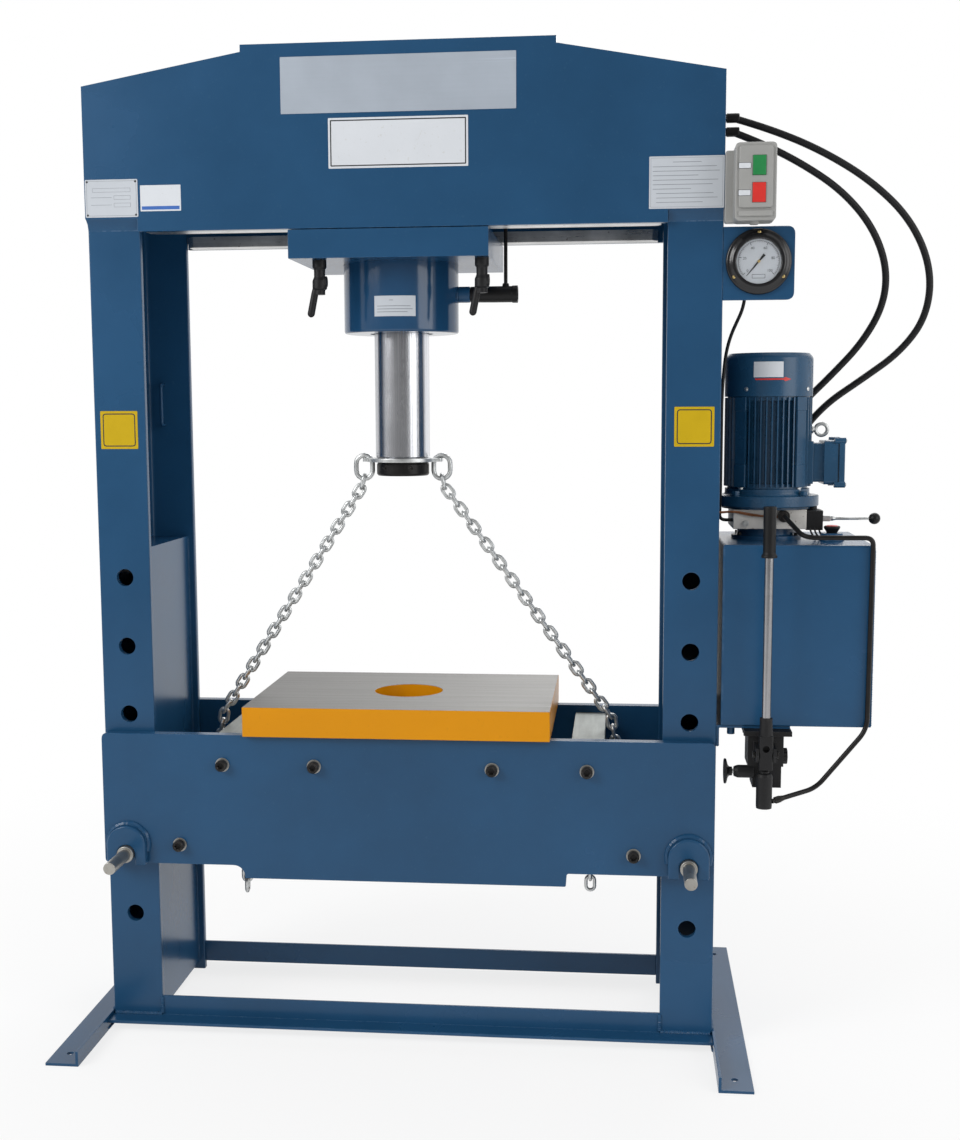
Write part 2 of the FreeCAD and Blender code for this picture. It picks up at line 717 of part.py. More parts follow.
spacers = []
for x in (-spacer_out, -spacer_in, spacer_in, spacer_out):
    b = body("spacer")
    add(b, "xy", spacer_low, spacer_top, [box(x - spacer_w / 2, x + spacer_w / 2, -bed_in, bed_in)])
    spacers.append(b)
for x in (-foot_bar_x, foot_bar_x):
    b = body("spacer")
    add(b, "xy", foot_bar_z - foot_bar_w / 2, foot_bar_z + foot_bar_w / 2,
        [box(x - foot_bar_w / 2, x + foot_bar_w / 2, -bed_in, bed_in)])
    spacers.append(b)
node("bed_spacers", *spacers)

# flat hook under each outer spacer, whose finger holds one link of the chain
finger_z = spacer_low - 91
finger_h = 2.3
hooks = []
for side in (-1, 1):
    b = body("chain_hook")
    root, tip = spacer_out - 10, spacer_out + 11
    outline = [
        (side * (root - 20), spacer_low), (side * (root - 20), finger_z), (side * (root - 8), finger_z - 12),
        (side * root, finger_z - 12), (side * root, finger_z - finger_h), (side * tip, finger_z - finger_h),
        (side * tip, finger_z + finger_h), (side * root, finger_z + finger_h),
        (side * root, spacer_low),
    ]
    add(b, "xz", -4, 4, [outline])
    hooks.append(b)
node("chain_hooks", *hooks)

screws = []
for side in (-1, 1):
    for x, z in ((-spacer_out, bed_bolt_z), (-spacer_in, bed_bolt_z), (spacer_in, bed_bolt_z),
                 (spacer_out, bed_bolt_z), (-foot_bar_x, foot_bar_z), (foot_bar_x, foot_bar_z)):
        b = body("screw")
        levels = [bed_out, bed_out + washer_t, bed_out + washer_t + bolt_tall]
        if side < 0:
            levels = [-level for level in levels]
        base, seat, crown = levels
        add(b, "xz", min_of(base, seat), max_of(base, seat), [ngon(x, z, washer_d / 2, 8)])
        add(b, "xz", min_of(seat, crown), max_of(seat, crown), [ngon(x, z, bolt_head / 2, 8)])
        screws.append(b)
node("bed_screws", *screws)

saddles = []
for y0, y1 in ((-saddle_y, -bed_out), (bed_out, saddle_y)):
    for x in (-pin_x, pin_x):
        b = body("saddle")
        slot = pin_hole / 2
        w = saddle_w / 2
        rim = saddle_top - w
        arch = [(x - w, bed_low), (x - slot, bed_low), (x - slot, pin_z), (x + slot, pin_z),
                (x + slot, bed_low), (x + w, bed_low), (x + w, rim)]
        for k in range(1, 7):
            a = math.pi * k / 7
            arch.append((x + w * math.cos(a), rim + w * math.sin(a)))
        arch.append((x - w, rim))
        add(b, "xz", y0, y1, [arch])
        cut(b, "xz", y0 - 1, y1 + 1, [], [(x, pin_z, pin_hole)])
        saddles.append(b)
node("saddles", *saddles)

b = body("bolster_plate")
add(b, "xy", bed_top, bed_top + bolster_t,
    [box(bolster_x - bolster_w / 2, bolster_x + bolster_w / 2, -bolster_d / 2, bolster_d / 2)],
    [(bolster_x, 0, bolster_hole)])
node("bolster_plate", b)

for name, side in (("left_pin", -1), ("right_pin", 1)):
    b = body(name)
    total = saddle_y * 2 + pin_lip * 2
    add(b, "xy", 0, pin_grip, [ngon(0, 0, pin_stub / 2, 16)])
    add(b, "xy", pin_grip, pin_grip + total, [], [(0, 0, pin_d)])
    stand(b, side * pin_x, -saddle_y - pin_lip - pin_grip, pin_z, "y")
    node(name, b)

# Carriage
car_top = head_low - car_gap
car_low = car_top - car_t
b = body("carriage_plate")
add(b, "xy", car_low, car_top, [box(car_x - car_w / 2, car_x + car_w / 2, -head_y, head_y),
                                flats(car_x, 0, cyl_d / 2 + 0.05, 40)])
node("carriage_plate", b)

axle_z = head_low + rail_tall + slip_gap + roller_d / 2
brackets = []
brk_y = col_y - rail_w - 8
for sx in (-1, 1):
    for sy in (-1, 1):
        b = body("roller_bracket")
        x = car_x + sx * axle_x
        w = 26
        lo, hi = (-brk_y, -brk_y + 12) if sy < 0 else (brk_y - 12, brk_y)
        add(b, "xz", lo, hi, [[(x - w, car_top), (x + w, car_top), (x + w, axle_z),
                               (x + w - 12, axle_z + 18), (x - w + 12, axle_z + 18), (x - w, axle_z)]])
        cut(b, "xz", lo - 1, hi + 1, [flats(x, axle_z, axle_d / 2 + run_gap, 20)])
        brackets.append(b)
node("roller_brackets", *brackets)

for name, sx in (("left_wheelset", -1), ("right_wheelset", 1)):
    b = body(name)
    near_y = col_y - rail_w + 6
    far_y = near_y + roller_w
    add(b, "xy", -near_y, near_y, [], [(0, 0, axle_d)])
    add(b, "xy", -far_y, -near_y, [ngon(0, 0, roller_d / 2, 20)])
    add(b, "xy", near_y, far_y, [ngon(0, 0, roller_d / 2, 20)])
    stand(b, car_x + sx * axle_x, 0, axle_z, "y")
    node(name, b)

b = body("cylinder_body")
r = cyl_d / 2
bore = rod_d / 2 + run_gap
crown = cyl_top - 30
turn(b, [(bore, cyl_low), (r, cyl_low), (r, cyl_top), (0, cyl_top), (0, crown), (bore, crown)])
# boss that the shift handle is screwed to
boss_end = r + 1
add(b, "yz", r - 3, boss_end, [ngon(0, shift_z, 18, 14)])
stand(b, car_x, 0, 0)
node("cylinder_body", b)

b = body("shift_handle")
handle_r = 9
shoulder = boss_end + 25
add(b, "xy", boss_end, shoulder, [ngon(0, 0, 17, 14)])
add(b, "xy", shoulder, handle_end, [ngon(0, 0, handle_r, 10)])
stand(b, car_x, 0, shift_z, "x")
node("shift_handle", b)

b = body("shift_grip")
g = grip_d / 2
add(b, "xy", shoulder + 1, handle_end, [ngon(0, 0, g, 16), ngon(0, 0, handle_r, 10)])
add(b, "xy", handle_end, handle_end + 4, [ngon(0, 0, g, 16)])
stand(b, car_x, 0, shift_z, "x")
node("shift_grip", b)

# stay: upright rod from the grip to an arm on the carriage, inside the head
stay = doc.addObject("Part::Feature", "shift_stay")
sx0 = (car_x + stay_x).value
stay_low = shift_z.value + grip_d.value / 2 * math.cos(math.pi / 16)
top_arm = head_low.value + rail_tall.value + 8
stay.Shape = bar([(sx0, 0, stay_low), (sx0, 0, top_arm), (car_x.value + cyl_d.value / 2 + 0.05, 0, top_arm)],
                 [14.0], 4.0, 8)
node("shift_stay", stay)

for name, dx in (("left_clamp", clamp_left - car_w / 2), ("right_clamp", car_w / 2 - clamp_right)):
    b = body(name)
    # hexagon-headed clamp screw with its side lever
    collar, boss, nut = 12, 58, 70
    add(b, "xy", 0, collar, [ngon(0, 0, 15, 12)])
    add(b, "xy", collar, boss, [ngon(0, 0, 12.5, 12)])
    add(b, "xy", boss, nut, [ngon(0, 0, 15, 6)])
    add(b, "xz", -5, 5, [[(-3, 28), (3, 28), (-16, 112), (-24, 112)]])
    stand(b, car_x + dx, -clamp_y, car_low - slip_gap, "-z")
    node(name, b)

# Ram
b = body("ram_rod")
add(b, "xy", ring_z + ring_t, cyl_low + 140, [], [(0, 0, rod_d)])
stand(b, car_x, 0, 0)
node("ram_rod", b)

b = body("chain_ring")
ear = ear_x + ear_hole + 1
add(b, "xy", ring_z, ring_z + ring_t, [ngon(0, 0, ring_d / 2, 30)])
add(b, "xy", ring_z, ring_z + ring_t, [box(-ear, ear, -17, 17)])
cut(b, "xy", ring_z - 1, ring_z + ring_t + 1,
    [ngon(-ear_x, 0, ear_hole / 2, 12), ngon(ear_x, 0, ear_hole / 2, 12)])
stand(b, car_x, 0, 0)
node("chain_ring", b)

b = body("press_nose")
add(b, "xy", nose_low, ring_z, [ngon(0, 0, nose_d / 2, 26)])
cut(b, "xz", -nose_d / 2 - 1, -nose_d / 2 + 14,
    [ngon(-30, nose_low + 17, 4.5, 8), ngon(24, nose_low + 17, 4.5, 8)])
stand(b, car_x, 0, 0)
node("press_nose", b)


# Chains
# Long link in its own XZ plane with the long side along Z, as a stretched hexagon of square
# wire set on edge: the edges inside its two ends lie where a round wire's inside would.
def link(width, length, wire):
    r = wire / 2
    wide = (width - wire) / 2
    tall = (length - wire) / 2
    end = 0.72 * wide
    path = [(wide, 0), (end, tall), (-end, tall), (-wide, 0), (-end, -tall), (end, -tall)]
    rings = []
    for i in range(len(path)):
        p, q, s = path[i - 1], path[i], path[(i + 1) % len(path)]
        d1 = V(q[0] - p[0], 0, q[1] - p[1]).normalize()
        d2 = V(s[0] - q[0], 0, s[1] - q[1]).normalize()
        n1 = V(d1.z, 0, -d1.x)
        n2 = V(d2.z, 0, -d2.x)
        m = (n1 + n2).normalize()
        k = r / m.dot(n1)
        at = V(q[0], 0, q[1])
        rings.append([at + m * k, at + V(0, r, 0), at - m * k, at - V(0, r, 0)])
    return skin(rings, True)


# Copy of a link with its long side along a direction, rolled about it.
def lay(solid, at, along, roll):
    s = solid.copy()
    rot = FreeCAD.Rotation(V(0, 0, 1), along)
    s.Placement = FreeCAD.Placement(at, rot.multiply(FreeCAD.Rotation(V(0, 0, 1), roll)))
    return s


# Centres and directions of a number of links spread evenly from one point to another.
def spread(p, q, count):
    way = q - p
    return [(p + way * ((k + 0.5) / count), way) for k in range(count)]


pitch = chain_pitch.value
small = link(chain_wide.value, pitch + 2 * chain_wire.value, chain_wire.value)
large = link(end_wide.value, end_long.value, end_wire.value)
for name, side in (("left_chain", -1), ("right_chain", 1)):
    # large link through the ear's hole, its upper end resting on the ear
    cx = car_x.value + side * (ear_x.value + 0.85 * (end_wide.value - end_wire.value) / 2)
    cz = ring_z.value + ring_t.value + 0.1 - (end_long.value / 2 - end_wire.value)
    start = V(cx, 0, cz - end_long.value / 2 + end_wire.value)
    # the link held by the hook's finger stands across it, and the one below it bears on the finger
    held = V(side * (spacer_out.value + 4), 0,
             finger_z.value - finger_h + chain_wire.value + pitch / 2 - chain_wire.value / 2)
    # from the hook up round the spacer's corner, each link leaning outwards by so many degrees
    hooked = []
    low = held
    for tilt in (20, 36, 36, 36, 24):
        a = math.radians(tilt)
        high = low + V(side * math.sin(a), 0, math.cos(a)) * pitch
        hooked.insert(0, spread(high, low, 1)[0])
        low = high
    away = (V(side * chain_x.value, 0, spacer_top.value + 10) - low).normalize()
    first = start + V(side * 0.26, 0, -0.966) * pitch
    # an even number of links above the hook makes the held one stand across the finger
    choices = []
    for count in (3, 4):
        corner = low + away * (count * pitch)
        least = int(math.ceil((corner - first).Length / pitch))
        row = least if (least + count) % 2 == 0 else least + 1
        choices.append(((corner - first).Length / row, row, count, corner))
    step, row, count, corner = max(choices, key=lambda choice: choice[0])
    places = spread(start, first, 1) + spread(first, corner, row) + spread(corner, low, count) + hooked
    drop = int((held.z - tail_z.value) / pitch + 0.5)
    places += spread(held, held - V(0, 0, pitch * drop), drop)
    links = [lay(large, V(cx, 0, cz), V(0, 0, 1), 0)]
    for i, (at, way) in enumerate(places):
        links.append(lay(small, at, way, 90 if i % 2 == 0 else 0))
    print(name, "links", len(links), "pitch of the straight stretch %.2f" % step)
    f = doc.addObject("Part::Feature", name)
    f.Shape = Part.makeCompound(links)
    node(name, f)

# Tank
b = body("tank")
y0 = tank_d / 2
shell = add(b, "xy", tank_low, tank_top, [box(tank_x, tank_x + tank_w, -y0, y0)])
soften(b, shell, tank_round, lambda a, c: near(a.z, c.z, 0.01) and near(a.z, tank_top.value))
cap_x, cap_y = tank_x + 231, -60
neck_top = tank_top + 16
add(b, "xy", tank_top - 4, neck_top, [ngon(cap_x, cap_y, 22, 16)])
node("tank", b)

b = body("tank_bracket")
# shelf angle welded to the column, the tank stands on it
shelf_set = 4
shelf = [(half, tank_low - shelf_leg), (half + shelf_t, tank_low - shelf_leg),
         (half + shelf_t, tank_low - shelf_t), (half + shelf_out, tank_low - shelf_t),
         (half + shelf_out, tank_low), (half, tank_low)]
add(b, "xz", shelf_set - y0, y0 - shelf_set, [shelf])
# head of the bolt that holds the tank to the shelf
add(b, "xy", tank_low - 22, tank_low - 5, [ngon(half + 31, 24 - y0, 8.5, 8)])
node("tank_bracket", b)

# Motor and valve block
b = body("coupling_housing")
add(b, "xy", tank_top, tank_top + 7, [ngon(0, 0, neck_d / 2 + 12, 24)])
add(b, "xy", tank_top + 7, block_low, [ngon(0, 0, neck_d / 2, 24)])
stand(b, motor_x, motor_y, 0)
node("coupling_housing", b)

b = body("valve_block")
blk = 76
add(b, "xy", block_low, block_top, [box(motor_x - blk, motor_x + blk, motor_y - blk, motor_y + blk)])
cut(b, "xz", motor_y - blk - 1, motor_y - blk + 4, [ngon(motor_x - 30, (block_low + block_top) / 2, 11, 10)])
node("valve_block", b)

b = body("motor_flange")
r = mflange_d / 2
add(b, "xy", block_top, block_top + 5, [ngon(0, 0, r - 14, 24)])
add(b, "xy", block_top + 5, block_top + mflange_t, [ngon(0, 0, r, 28)])
add(b, "xy", block_top + mflange_t, block_top + mflange_t + 14, [ngon(0, 0, fin_d / 2 - 3, 24)])
stand(b, motor_x, motor_y, 0)
node("motor_flange", b)

b = body("motor_body")
body_low = block_top + mflange_t + 14
# one side of the frame: parallel fins that stand out of the core, then the flat corner
side_loop = []
for k in range(fins_each_side - 1, -1, -1):
    away = fin_pitch * (k - (fins_each_side - 1) / 2)
    for shift, d in ((fin_t, body_d), (fin_t / 2, fin_d), (-fin_t / 2, fin_d), (-fin_t, body_d)):
        x = away + shift
        side_loop.append((x, on_circle(d, x)))
flat_corner = [(-body_d / 2 * 0.66, body_d / 2 * 0.82), (-body_d / 2 * 0.82, body_d / 2 * 0.66)]
section = []
for turns in range(4):
    section += [quarter(point, turns) for point in side_loop + flat_corner]
add(b, "xy", body_low, body_top, [section])
# lifting eye screwed into the frame
eye_x, eye_z = fin_d / 2 + 20, block_top + 166
eye_r, eye_wire = 16, 7
add(b, "xz", -4, 4, [ngon(eye_x, eye_z, eye_r, 12), ngon(eye_x, eye_z, eye_r - eye_wire, 10)])
add(b, "yz", body_d / 2 - 8, eye_x - eye_r + eye_wire - 1, [ngon(0, eye_z, 6, 8)])
# flat pad for the terminal box
tz0, tz1 = block_top + 46, block_top + 148
add(b, "yz", body_d / 2 - 20, fin_d / 2, [box(-motor_pad, motor_pad, tz0 + 6, tz1 - 6)])
stand(b, motor_x, motor_y, 0)
node("motor_body", b)

b = body("fan_cowl")
r = cowl_d / 2
add(b, "xy", body_top, cowl_top - 10, [ngon(0, 0, r, 30)])
add(b, "xy", cowl_top - 10, cowl_top, [ngon(0, 0, r - 9, 30)])
cut(b, "xy", body_top - 1, body_top + 62, [ngon(0, 0, r - 3, 30)])
# air slots in the top, shorter towards its edge
for k in range(-grille_rows, grille_rows + 1):
    reach = on_circle(cowl_d - 36, grille_pitch * k)
    cut(b, "xy", cowl_top - 6, cowl_top + 1,
        [box(-reach, reach, grille_pitch * k - grille_slot / 2, grille_pitch * k + grille_slot / 2)])
stand(b, motor_x, motor_y, 0)
node("fan_cowl", b)

b = body("terminal_box")
# neck, box and lid, each wider than the one before, the lid with cut corners
neck_w, case_w, lid_w, lid_cut = 38, 49, 54, 12
tb0 = motor_x + fin_d / 2
tb1, tb2, tb3 = tb0 + 22, tb0 + 50, tb0 + 66
add(b, "yz", tb0, tb1, [box(motor_y - neck_w, motor_y + neck_w, tz0 + 8, tz1 - 8)])
add(b, "yz", tb1, tb2, [box(motor_y - case_w, motor_y + case_w, tz0 + 4, tz1 - 4)])
add(b, "yz", tb2, tb3, [[
    (motor_y - lid_w, tz0 + lid_cut), (motor_y - lid_w + lid_cut, tz0), (motor_y + lid_w - lid_cut, tz0),
    (motor_y + lid_w, tz0 + lid_cut), (motor_y + lid_w, tz1 - lid_cut), (motor_y + lid_w - lid_cut, tz1),
    (motor_y - lid_w + lid_cut, tz1), (motor_y - lid_w, tz1 - lid_cut)]])
node("terminal_box", b)

b = body("valve_body")
vx0 = motor_x + blk
vz = (block_low + block_top) / 2
turn_x, turn_y = vx0 + 28, motor_y - 41
link_w, turn_r = 5.5, 2.5
add(b, "xy", block_low - 2, block_top - 2, [box(vx0, vx0 + 34, motor_y - 74, motor_y - 8)])
cut(b, "yz", vx0 + 20, vx0 + 35,
    [box(turn_y - link_w - slip_gap, turn_y + link_w + slip_gap, vz - 14, vz + 14)])
# pin across the slot that the lever tilts on
add(b, "xz", turn_y - link_w - 1, turn_y + link_w + 1, [ngon(turn_x, vz, turn_r, 10)])
node("valve_body", b)

b = body("valve_lever")
rod_end, ball = 106, 12.5
add(b, "xy", 24, rod_end, [ngon(0, 0, 3.4, 8)])
# ball as three steps
for low, high, ball_r in ((0, 5, ball * 0.72), (5, 16, ball), (16, 21, ball * 0.72)):
    add(b, "xy", rod_end + low, rod_end + high, [ngon(0, 0, ball_r, 10)])
add(b, "xz", -link_w, link_w, [box(-6, 6, -6, 26), flats(0, 0, turn_r + run_gap, 10)])
stand(b, turn_x, turn_y, vz, "x")
node("valve_lever", b)

b = body("filler_cap")
add(b, "xy", 0, 12, [ngon(0, 0, 17, 14)])
add(b, "xy", 12, 16, [ngon(0, 0, 13, 14)])
stand(b, cap_x, cap_y, neck_top + slip_gap)
node("filler_cap", b)

pipe = doc.addObject("Part::Feature", "pressure_pipe")
py = -pipe_y.value
bx, bz = motor_x.value + 27, (block_low.value + block_top.value) / 2 + 8
front = motor_y.value - 76
tz = tank_top.value + 16
px = tank_x.value + tank_w.value - 7
route = [(bx, front - 9, bz), (bx, front - 34, bz), (bx + 30, py, tz), (px, py, tz),
         (px - 3, py, tank_low.value - 2), (lever_x.value + 106, py - 11, pivot_z.value - 77),
         (lever_x.value + 15.4, 8 - lever_y.value, pivot_z.value - 98)]
nut = bar([(bx, front, bz), (bx, front - 20, bz)], [], 11, 10)
pipe.Shape = bar(route, [12.0, 30.0, 20.0, 34.0, 30.0], pipe_d.value / 2, 6).fuse(nut).removeSplitter()
node("pressure_pipe", pipe)

# Hand pump
b = body("pump_body")
face = -pipe_y - 12
flange_top = tank_low - shelf_t
add(b, "xy", flange_top - pump_flange, flange_top,
    [box(lever_x - pump_left - 8, lever_x + pump_right + 16, face - 6, 10 - pump_rear)])
add(b, "xy", pivot_z - 34, flange_top - pump_flange + 1,
    [box(lever_x - pump_left, lever_x + pump_right, face, -pump_rear)])
add(b, "xy", pivot_z - 78, pivot_z - 33,
    [box(lever_x - pump_left + 10, lever_x + pump_right - 4, face, -pump_rear - 10)])
# two ears with a pin between them, which carry the lever
lug = 14
pivot_r = 6
ear = [(face + 1, pivot_z + 18), (-lever_y - 10, pivot_z + 14), (-lever_y - 16, pivot_z),
       (-lever_y - 10, pivot_z - 14), (face + 1, pivot_z - 22)]
add(b, "yz", lever_x - lug - slip_gap - 6, lever_x - lug - slip_gap, [ear])
add(b, "yz", lever_x + lug + slip_gap, lever_x + lug + slip_gap + 6, [ear])
add(b, "yz", lever_x - lug - 2, lever_x + lug + 2, [ngon(-lever_y, pivot_z, pivot_r, 12)])
# barrel in front, below the lever
barrel_y = 8 - lever_y
barrel_low = pivot_z - barrel_drop
add(b, "xy", barrel_low, barrel_low + barrel_tall, [ngon(lever_x - 1, barrel_y, barrel_d / 2, 12)])
add(b, "xy", pivot_z - 76, pivot_z - 50, [box(lever_x - 12, lever_x + 10, barrel_y + 2, face + 4)])
# boss for the release screw on one side, hexagon plug on the other
knob_y, knob_z = -190, pivot_z - 46
add(b, "yz", lever_x - 52, lever_x - 21, [ngon(knob_y, knob_z, 13, 12)])
add(b, "yz", lever_x + 34, lever_x + 50, [ngon(-165, pivot_z - 18, 17, 6)])
node("pump_body", b)

b = body("release_knob")
add(b, "xy", 0, 11, [ngon(0, 0, 26, 16)])
add(b, "xy", 10, 28 - slip_gap, [ngon(0, 0, 9, 8)])
stand(b, lever_x - 80, knob_y, knob_z, "x")
node("release_knob", b)

b = body("pump_lever")
# socket on the pivot, with the tube standing in it and a grip with a collar on the tube
lx, ly = lever_x, -lever_y
socket_top = pivot_z + 76
grip_low = lever_top - 97
collar_low = grip_low - 5
add(b, "xy", pivot_z - 30, socket_top, [box(lx - lug, lx + lug, ly - lug, ly + lug)])
add(b, "xy", socket_top - 1, collar_low, [ngon(lx, ly, lever_d / 2, 12)])
add(b, "xy", collar_low, grip_low, [ngon(lx, ly, 17, 12)])
add(b, "xy", grip_low, lever_top, [ngon(lx, ly, 13, 12)])
cut(b, "yz", lx - lug - 1, lx + lug + 1, [flats(ly, pivot_z, pivot_r + run_gap, 12)])
node("pump_lever", b)

# Controls
b = body("switch_box")
bx0 = half + box_x
bx1 = bx0 + box_w
bz0, bz1 = box_low, box_low + box_tall
rear_deep = 30
add(b, "xz", -box_back - rear_deep, -box_back, [box(half, bx1 - 8, bz0 + 4, bz1 - 6)])
cover = add(b, "xz", -box_front, -box_back - rear_deep + 2, [box(bx0, bx1, bz0, bz1)])
soften(b, cover, box_round, lambda a, c: near(a.x, c.x) and near(a.z, c.z) and abs(a.y - c.y) > 40)
# a pocket for each button, wider than it all round, with a button in it
button_x = (bx0 + bx1) / 2 + 6
button_gap = 0.6
buttons = (("stop_button", 34), ("start_button", 85))
pockets = []
for name, lift in buttons:
    reach = button_w / 2 + button_gap
    pockets.append(box(button_x - reach, button_x + reach, bz0 + lift - button_gap,
                       bz0 + lift + button_tall + button_gap))
cut(b, "xz", -box_front - 1, -box_front + 10, pockets)
node("switch_box", b)

for name, lift in buttons:
    b = body(name)
    add(b, "xz", -box_front - 2, -box_front + 5,
        [box(button_x - button_w / 2, button_x + button_w / 2, bz0 + lift, bz0 + lift + button_tall)])
    node(name, b)

b = body("gauge_bracket")
end, cut_off = half + bracket_w, 12
add(b, "xz", -col_y, -col_y + bracket_t, [
    [(half, bracket_low), (end - cut_off, bracket_low), (end, bracket_low + cut_off),
     (end, bracket_top - cut_off), (end - cut_off, bracket_top), (half, bracket_top)],
    ngon(gauge_x, gauge_z, case_d / 2 + 1, 24)])
node("gauge_bracket", b)

b = body("gauge_case")
rd = dial_d / 2
add(b, "xy", 0, 60, [ngon(0, 0, case_d / 2, 24)])
add(b, "xy", -6, 0, [ngon(0, 0, gauge_d / 2, 28)])
add(b, "xy", -14, -6, [ngon(0, 0, rd + 4, 24), ngon(0, 0, rd, 24)])
cut(b, "xy", -7, 5, [ngon(0, 0, 3.4, 8)])
stand(b, gauge_x, -col_y, gauge_z, "y")
node("gauge_case", b)

b = body("gauge_needle")
add(b, "xz", -8.6, -7.8, [[(-2.2, -38), (2.2, -38), (2.6, -4), (2.6, 4), (4.5, 16), (-4.5, 16),
                          (-2.6, 4), (-2.6, -4)]])
add(b, "xz", -9.6, 2, [ngon(0, 0, 3, 8)])
node("gauge_needle", b)
b.Placement = FreeCAD.Placement(V(gauge_x.value, -col_y.value, gauge_z.value),
                                FreeCAD.Rotation(V(0, 1, 0), 40))
bind(b, "Placement.Base.x", gauge_x)
bind(b, "Placement.Base.y", -col_y)
bind(b, "Placement.Base.z", gauge_z)

# Hoses


# Free hose: straight runs joined by arcs as large as the runs allow.
def soft_hose(name, points, r):
    pts = [V(*p) for p in points]
    runs = [(pts[i + 1] - pts[i]).Length for i in range(len(pts) - 1)]
    radii = []
    for i in range(1, len(pts) - 1):
        u = (pts[i - 1] - pts[i]).normalize()
        w = (pts[i + 1] - pts[i]).normalize()
        half_turn = (math.pi - u.getAngle(w)) / 2
        radii.append(0.45 * min(runs[i - 1], runs[i]) / math.tan(half_turn))
    f = doc.addObject("Part::Feature", name)
    f.Shape = tube(points, radii, r, 6)
    length = sum(runs)
    for i, rad in enumerate(radii):
        u = (pts[i] - pts[i + 1]).normalize()
        w = (pts[i + 2] - pts[i + 1]).normalize()
        half_turn = (math.pi - u.getAngle(w)) / 2
        length += rad * 2 * half_turn - 2 * rad * math.tan(half_turn)
    print(name, "length %.0f" % length, "radii", [int(v) for v in radii], "runs", [int(v) for v in runs],
          "volume ratio %.4f" % (f.Shape.Volume / (fill(6) * math.pi * r * r * length)))
    node(name, f)


elbow_z = (block_low + block_top) / 2
elbow_top = block_top + 2


# Route from the head to an elbow: distance from the column, depth and share of the drop left.
def drop_points(up, points):
    low = elbow_top.value
    return [(half.value + out, y, low + (up.value - low) * share) for out, y, share in points]


soft_hose("outer_hose", drop_points(hose_up, [
    (hose_start.value, 0, 1), (92, 3, 0.9765), (205, 12, 0.9208), (315, 26, 0.8416), (402, 42, 0.7426),
    (450, 58, 0.6188), (446, 74, 0.4975), (396, 92, 0.4059), (318, 108, 0.3342), (243, 122, 0.2686),
    (188, 138, 0.1819), (elbow_out.value + 6, elbow_y.value, 0.0829), (elbow_out.value, elbow_y.value, 0)]),
    hose_d.value / 2)
soft_hose("inner_hose", drop_points(hose_down, [
    (hose_start.value, 0, 1), (84, 4, 0.9718), (170, 14, 0.9179), (255, 28, 0.8487), (322, 44, 0.7564),
    (358, 60, 0.65), (356, 76, 0.5474), (316, 94, 0.4474), (254, 108, 0.359), (192, 122, 0.2782),
    (140, 138, 0.1885), (elbow_in.value + 6, elbow_y.value, 0.0859), (elbow_in.value, elbow_y.value, 0)]),
    hose_d.value / 2)

fittings = []
for z in (hose_up, hose_down):
    b = body("bulkhead")
    add(b, "yz", web_in - 8, half, [ngon(0, z, stem_d / 2, 8)])
    add(b, "yz", half, half + nut_t, [ngon(0, z, nut_d / 2, 6)])
    add(b, "yz", half + nut_t, half + hose_start + 0.2, [ngon(0, z, ferrule_d / 2, 10)])
    fittings.append(b)
for x in (half + elbow_out, half + elbow_in):
    b = body("elbow")
    add(b, "xz", motor_y + blk, elbow_y + 10, [ngon(x, elbow_z, stem_d / 2, 8)])
    add(b, "xy", elbow_z, elbow_top, [ngon(x, elbow_y, ferrule_d / 2, 10)])
    fittings.append(b)
node("hose_fittings", *fittings)

gauge_line = doc.addObject("Part::Feature", "gauge_hose")
gy = -col_y.value + 60
side_x = half.value + 7
top_of_line = gauge_z.value - 46
low_of_line = block_low.value + 19
line = []
for x, y, share in ((gauge_x.value - 20, gy - 12, 1), (gauge_x.value - 24, gy - 10, 0.916),
                    (side_x + 9, -80, 0.769), (side_x, -85, 0.58), (side_x, -85, 0.1387),
                    (side_x + 1, -50, 0), (motor_x.value - 76, -50, 0)):
    line.append((x, y, low_of_line + (top_of_line - low_of_line) * share))
gauge_line.Shape = bar(line, [40.0, 60.0, 60.0, 30.0, 14.0], 3.5, 6)
node("gauge_hose", gauge_line)

# Check and export
doc.recompute()
os.makedirs("parts", exist_ok=True)
total = 0
for obj in doc.Objects:
    if "Invalid" in obj.State or "Error" in obj.State:
        raise RuntimeError("object not valid: %s %s" % (obj.Name, obj.State))
for name, thing in nodes:
    shape = thing.Shape
    if shape.isNull() or not shape.isValid() or not shape.Solids:
        raise RuntimeError("shape not valid: " + name)
    shape.exportStep("parts/" + name + ".step")
    total += len(shape.Solids)
print("nodes", len(nodes), "solids", total)
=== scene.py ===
import bmesh
import bpy
import math
import numpy as np
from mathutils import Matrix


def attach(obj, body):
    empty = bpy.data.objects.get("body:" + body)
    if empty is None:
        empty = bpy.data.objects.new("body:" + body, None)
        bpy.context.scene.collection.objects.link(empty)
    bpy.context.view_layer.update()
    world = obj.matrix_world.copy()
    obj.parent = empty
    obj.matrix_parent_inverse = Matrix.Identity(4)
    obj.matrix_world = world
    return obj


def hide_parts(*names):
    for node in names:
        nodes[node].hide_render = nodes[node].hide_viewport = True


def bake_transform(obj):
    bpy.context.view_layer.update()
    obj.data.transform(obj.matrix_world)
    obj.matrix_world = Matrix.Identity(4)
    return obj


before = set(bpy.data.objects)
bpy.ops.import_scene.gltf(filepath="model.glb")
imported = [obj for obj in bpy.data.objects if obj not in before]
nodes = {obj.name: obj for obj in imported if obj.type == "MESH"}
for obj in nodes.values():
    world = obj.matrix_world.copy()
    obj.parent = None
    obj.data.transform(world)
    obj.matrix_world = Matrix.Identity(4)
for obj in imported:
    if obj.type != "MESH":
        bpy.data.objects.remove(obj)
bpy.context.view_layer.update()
print("frame loaded")

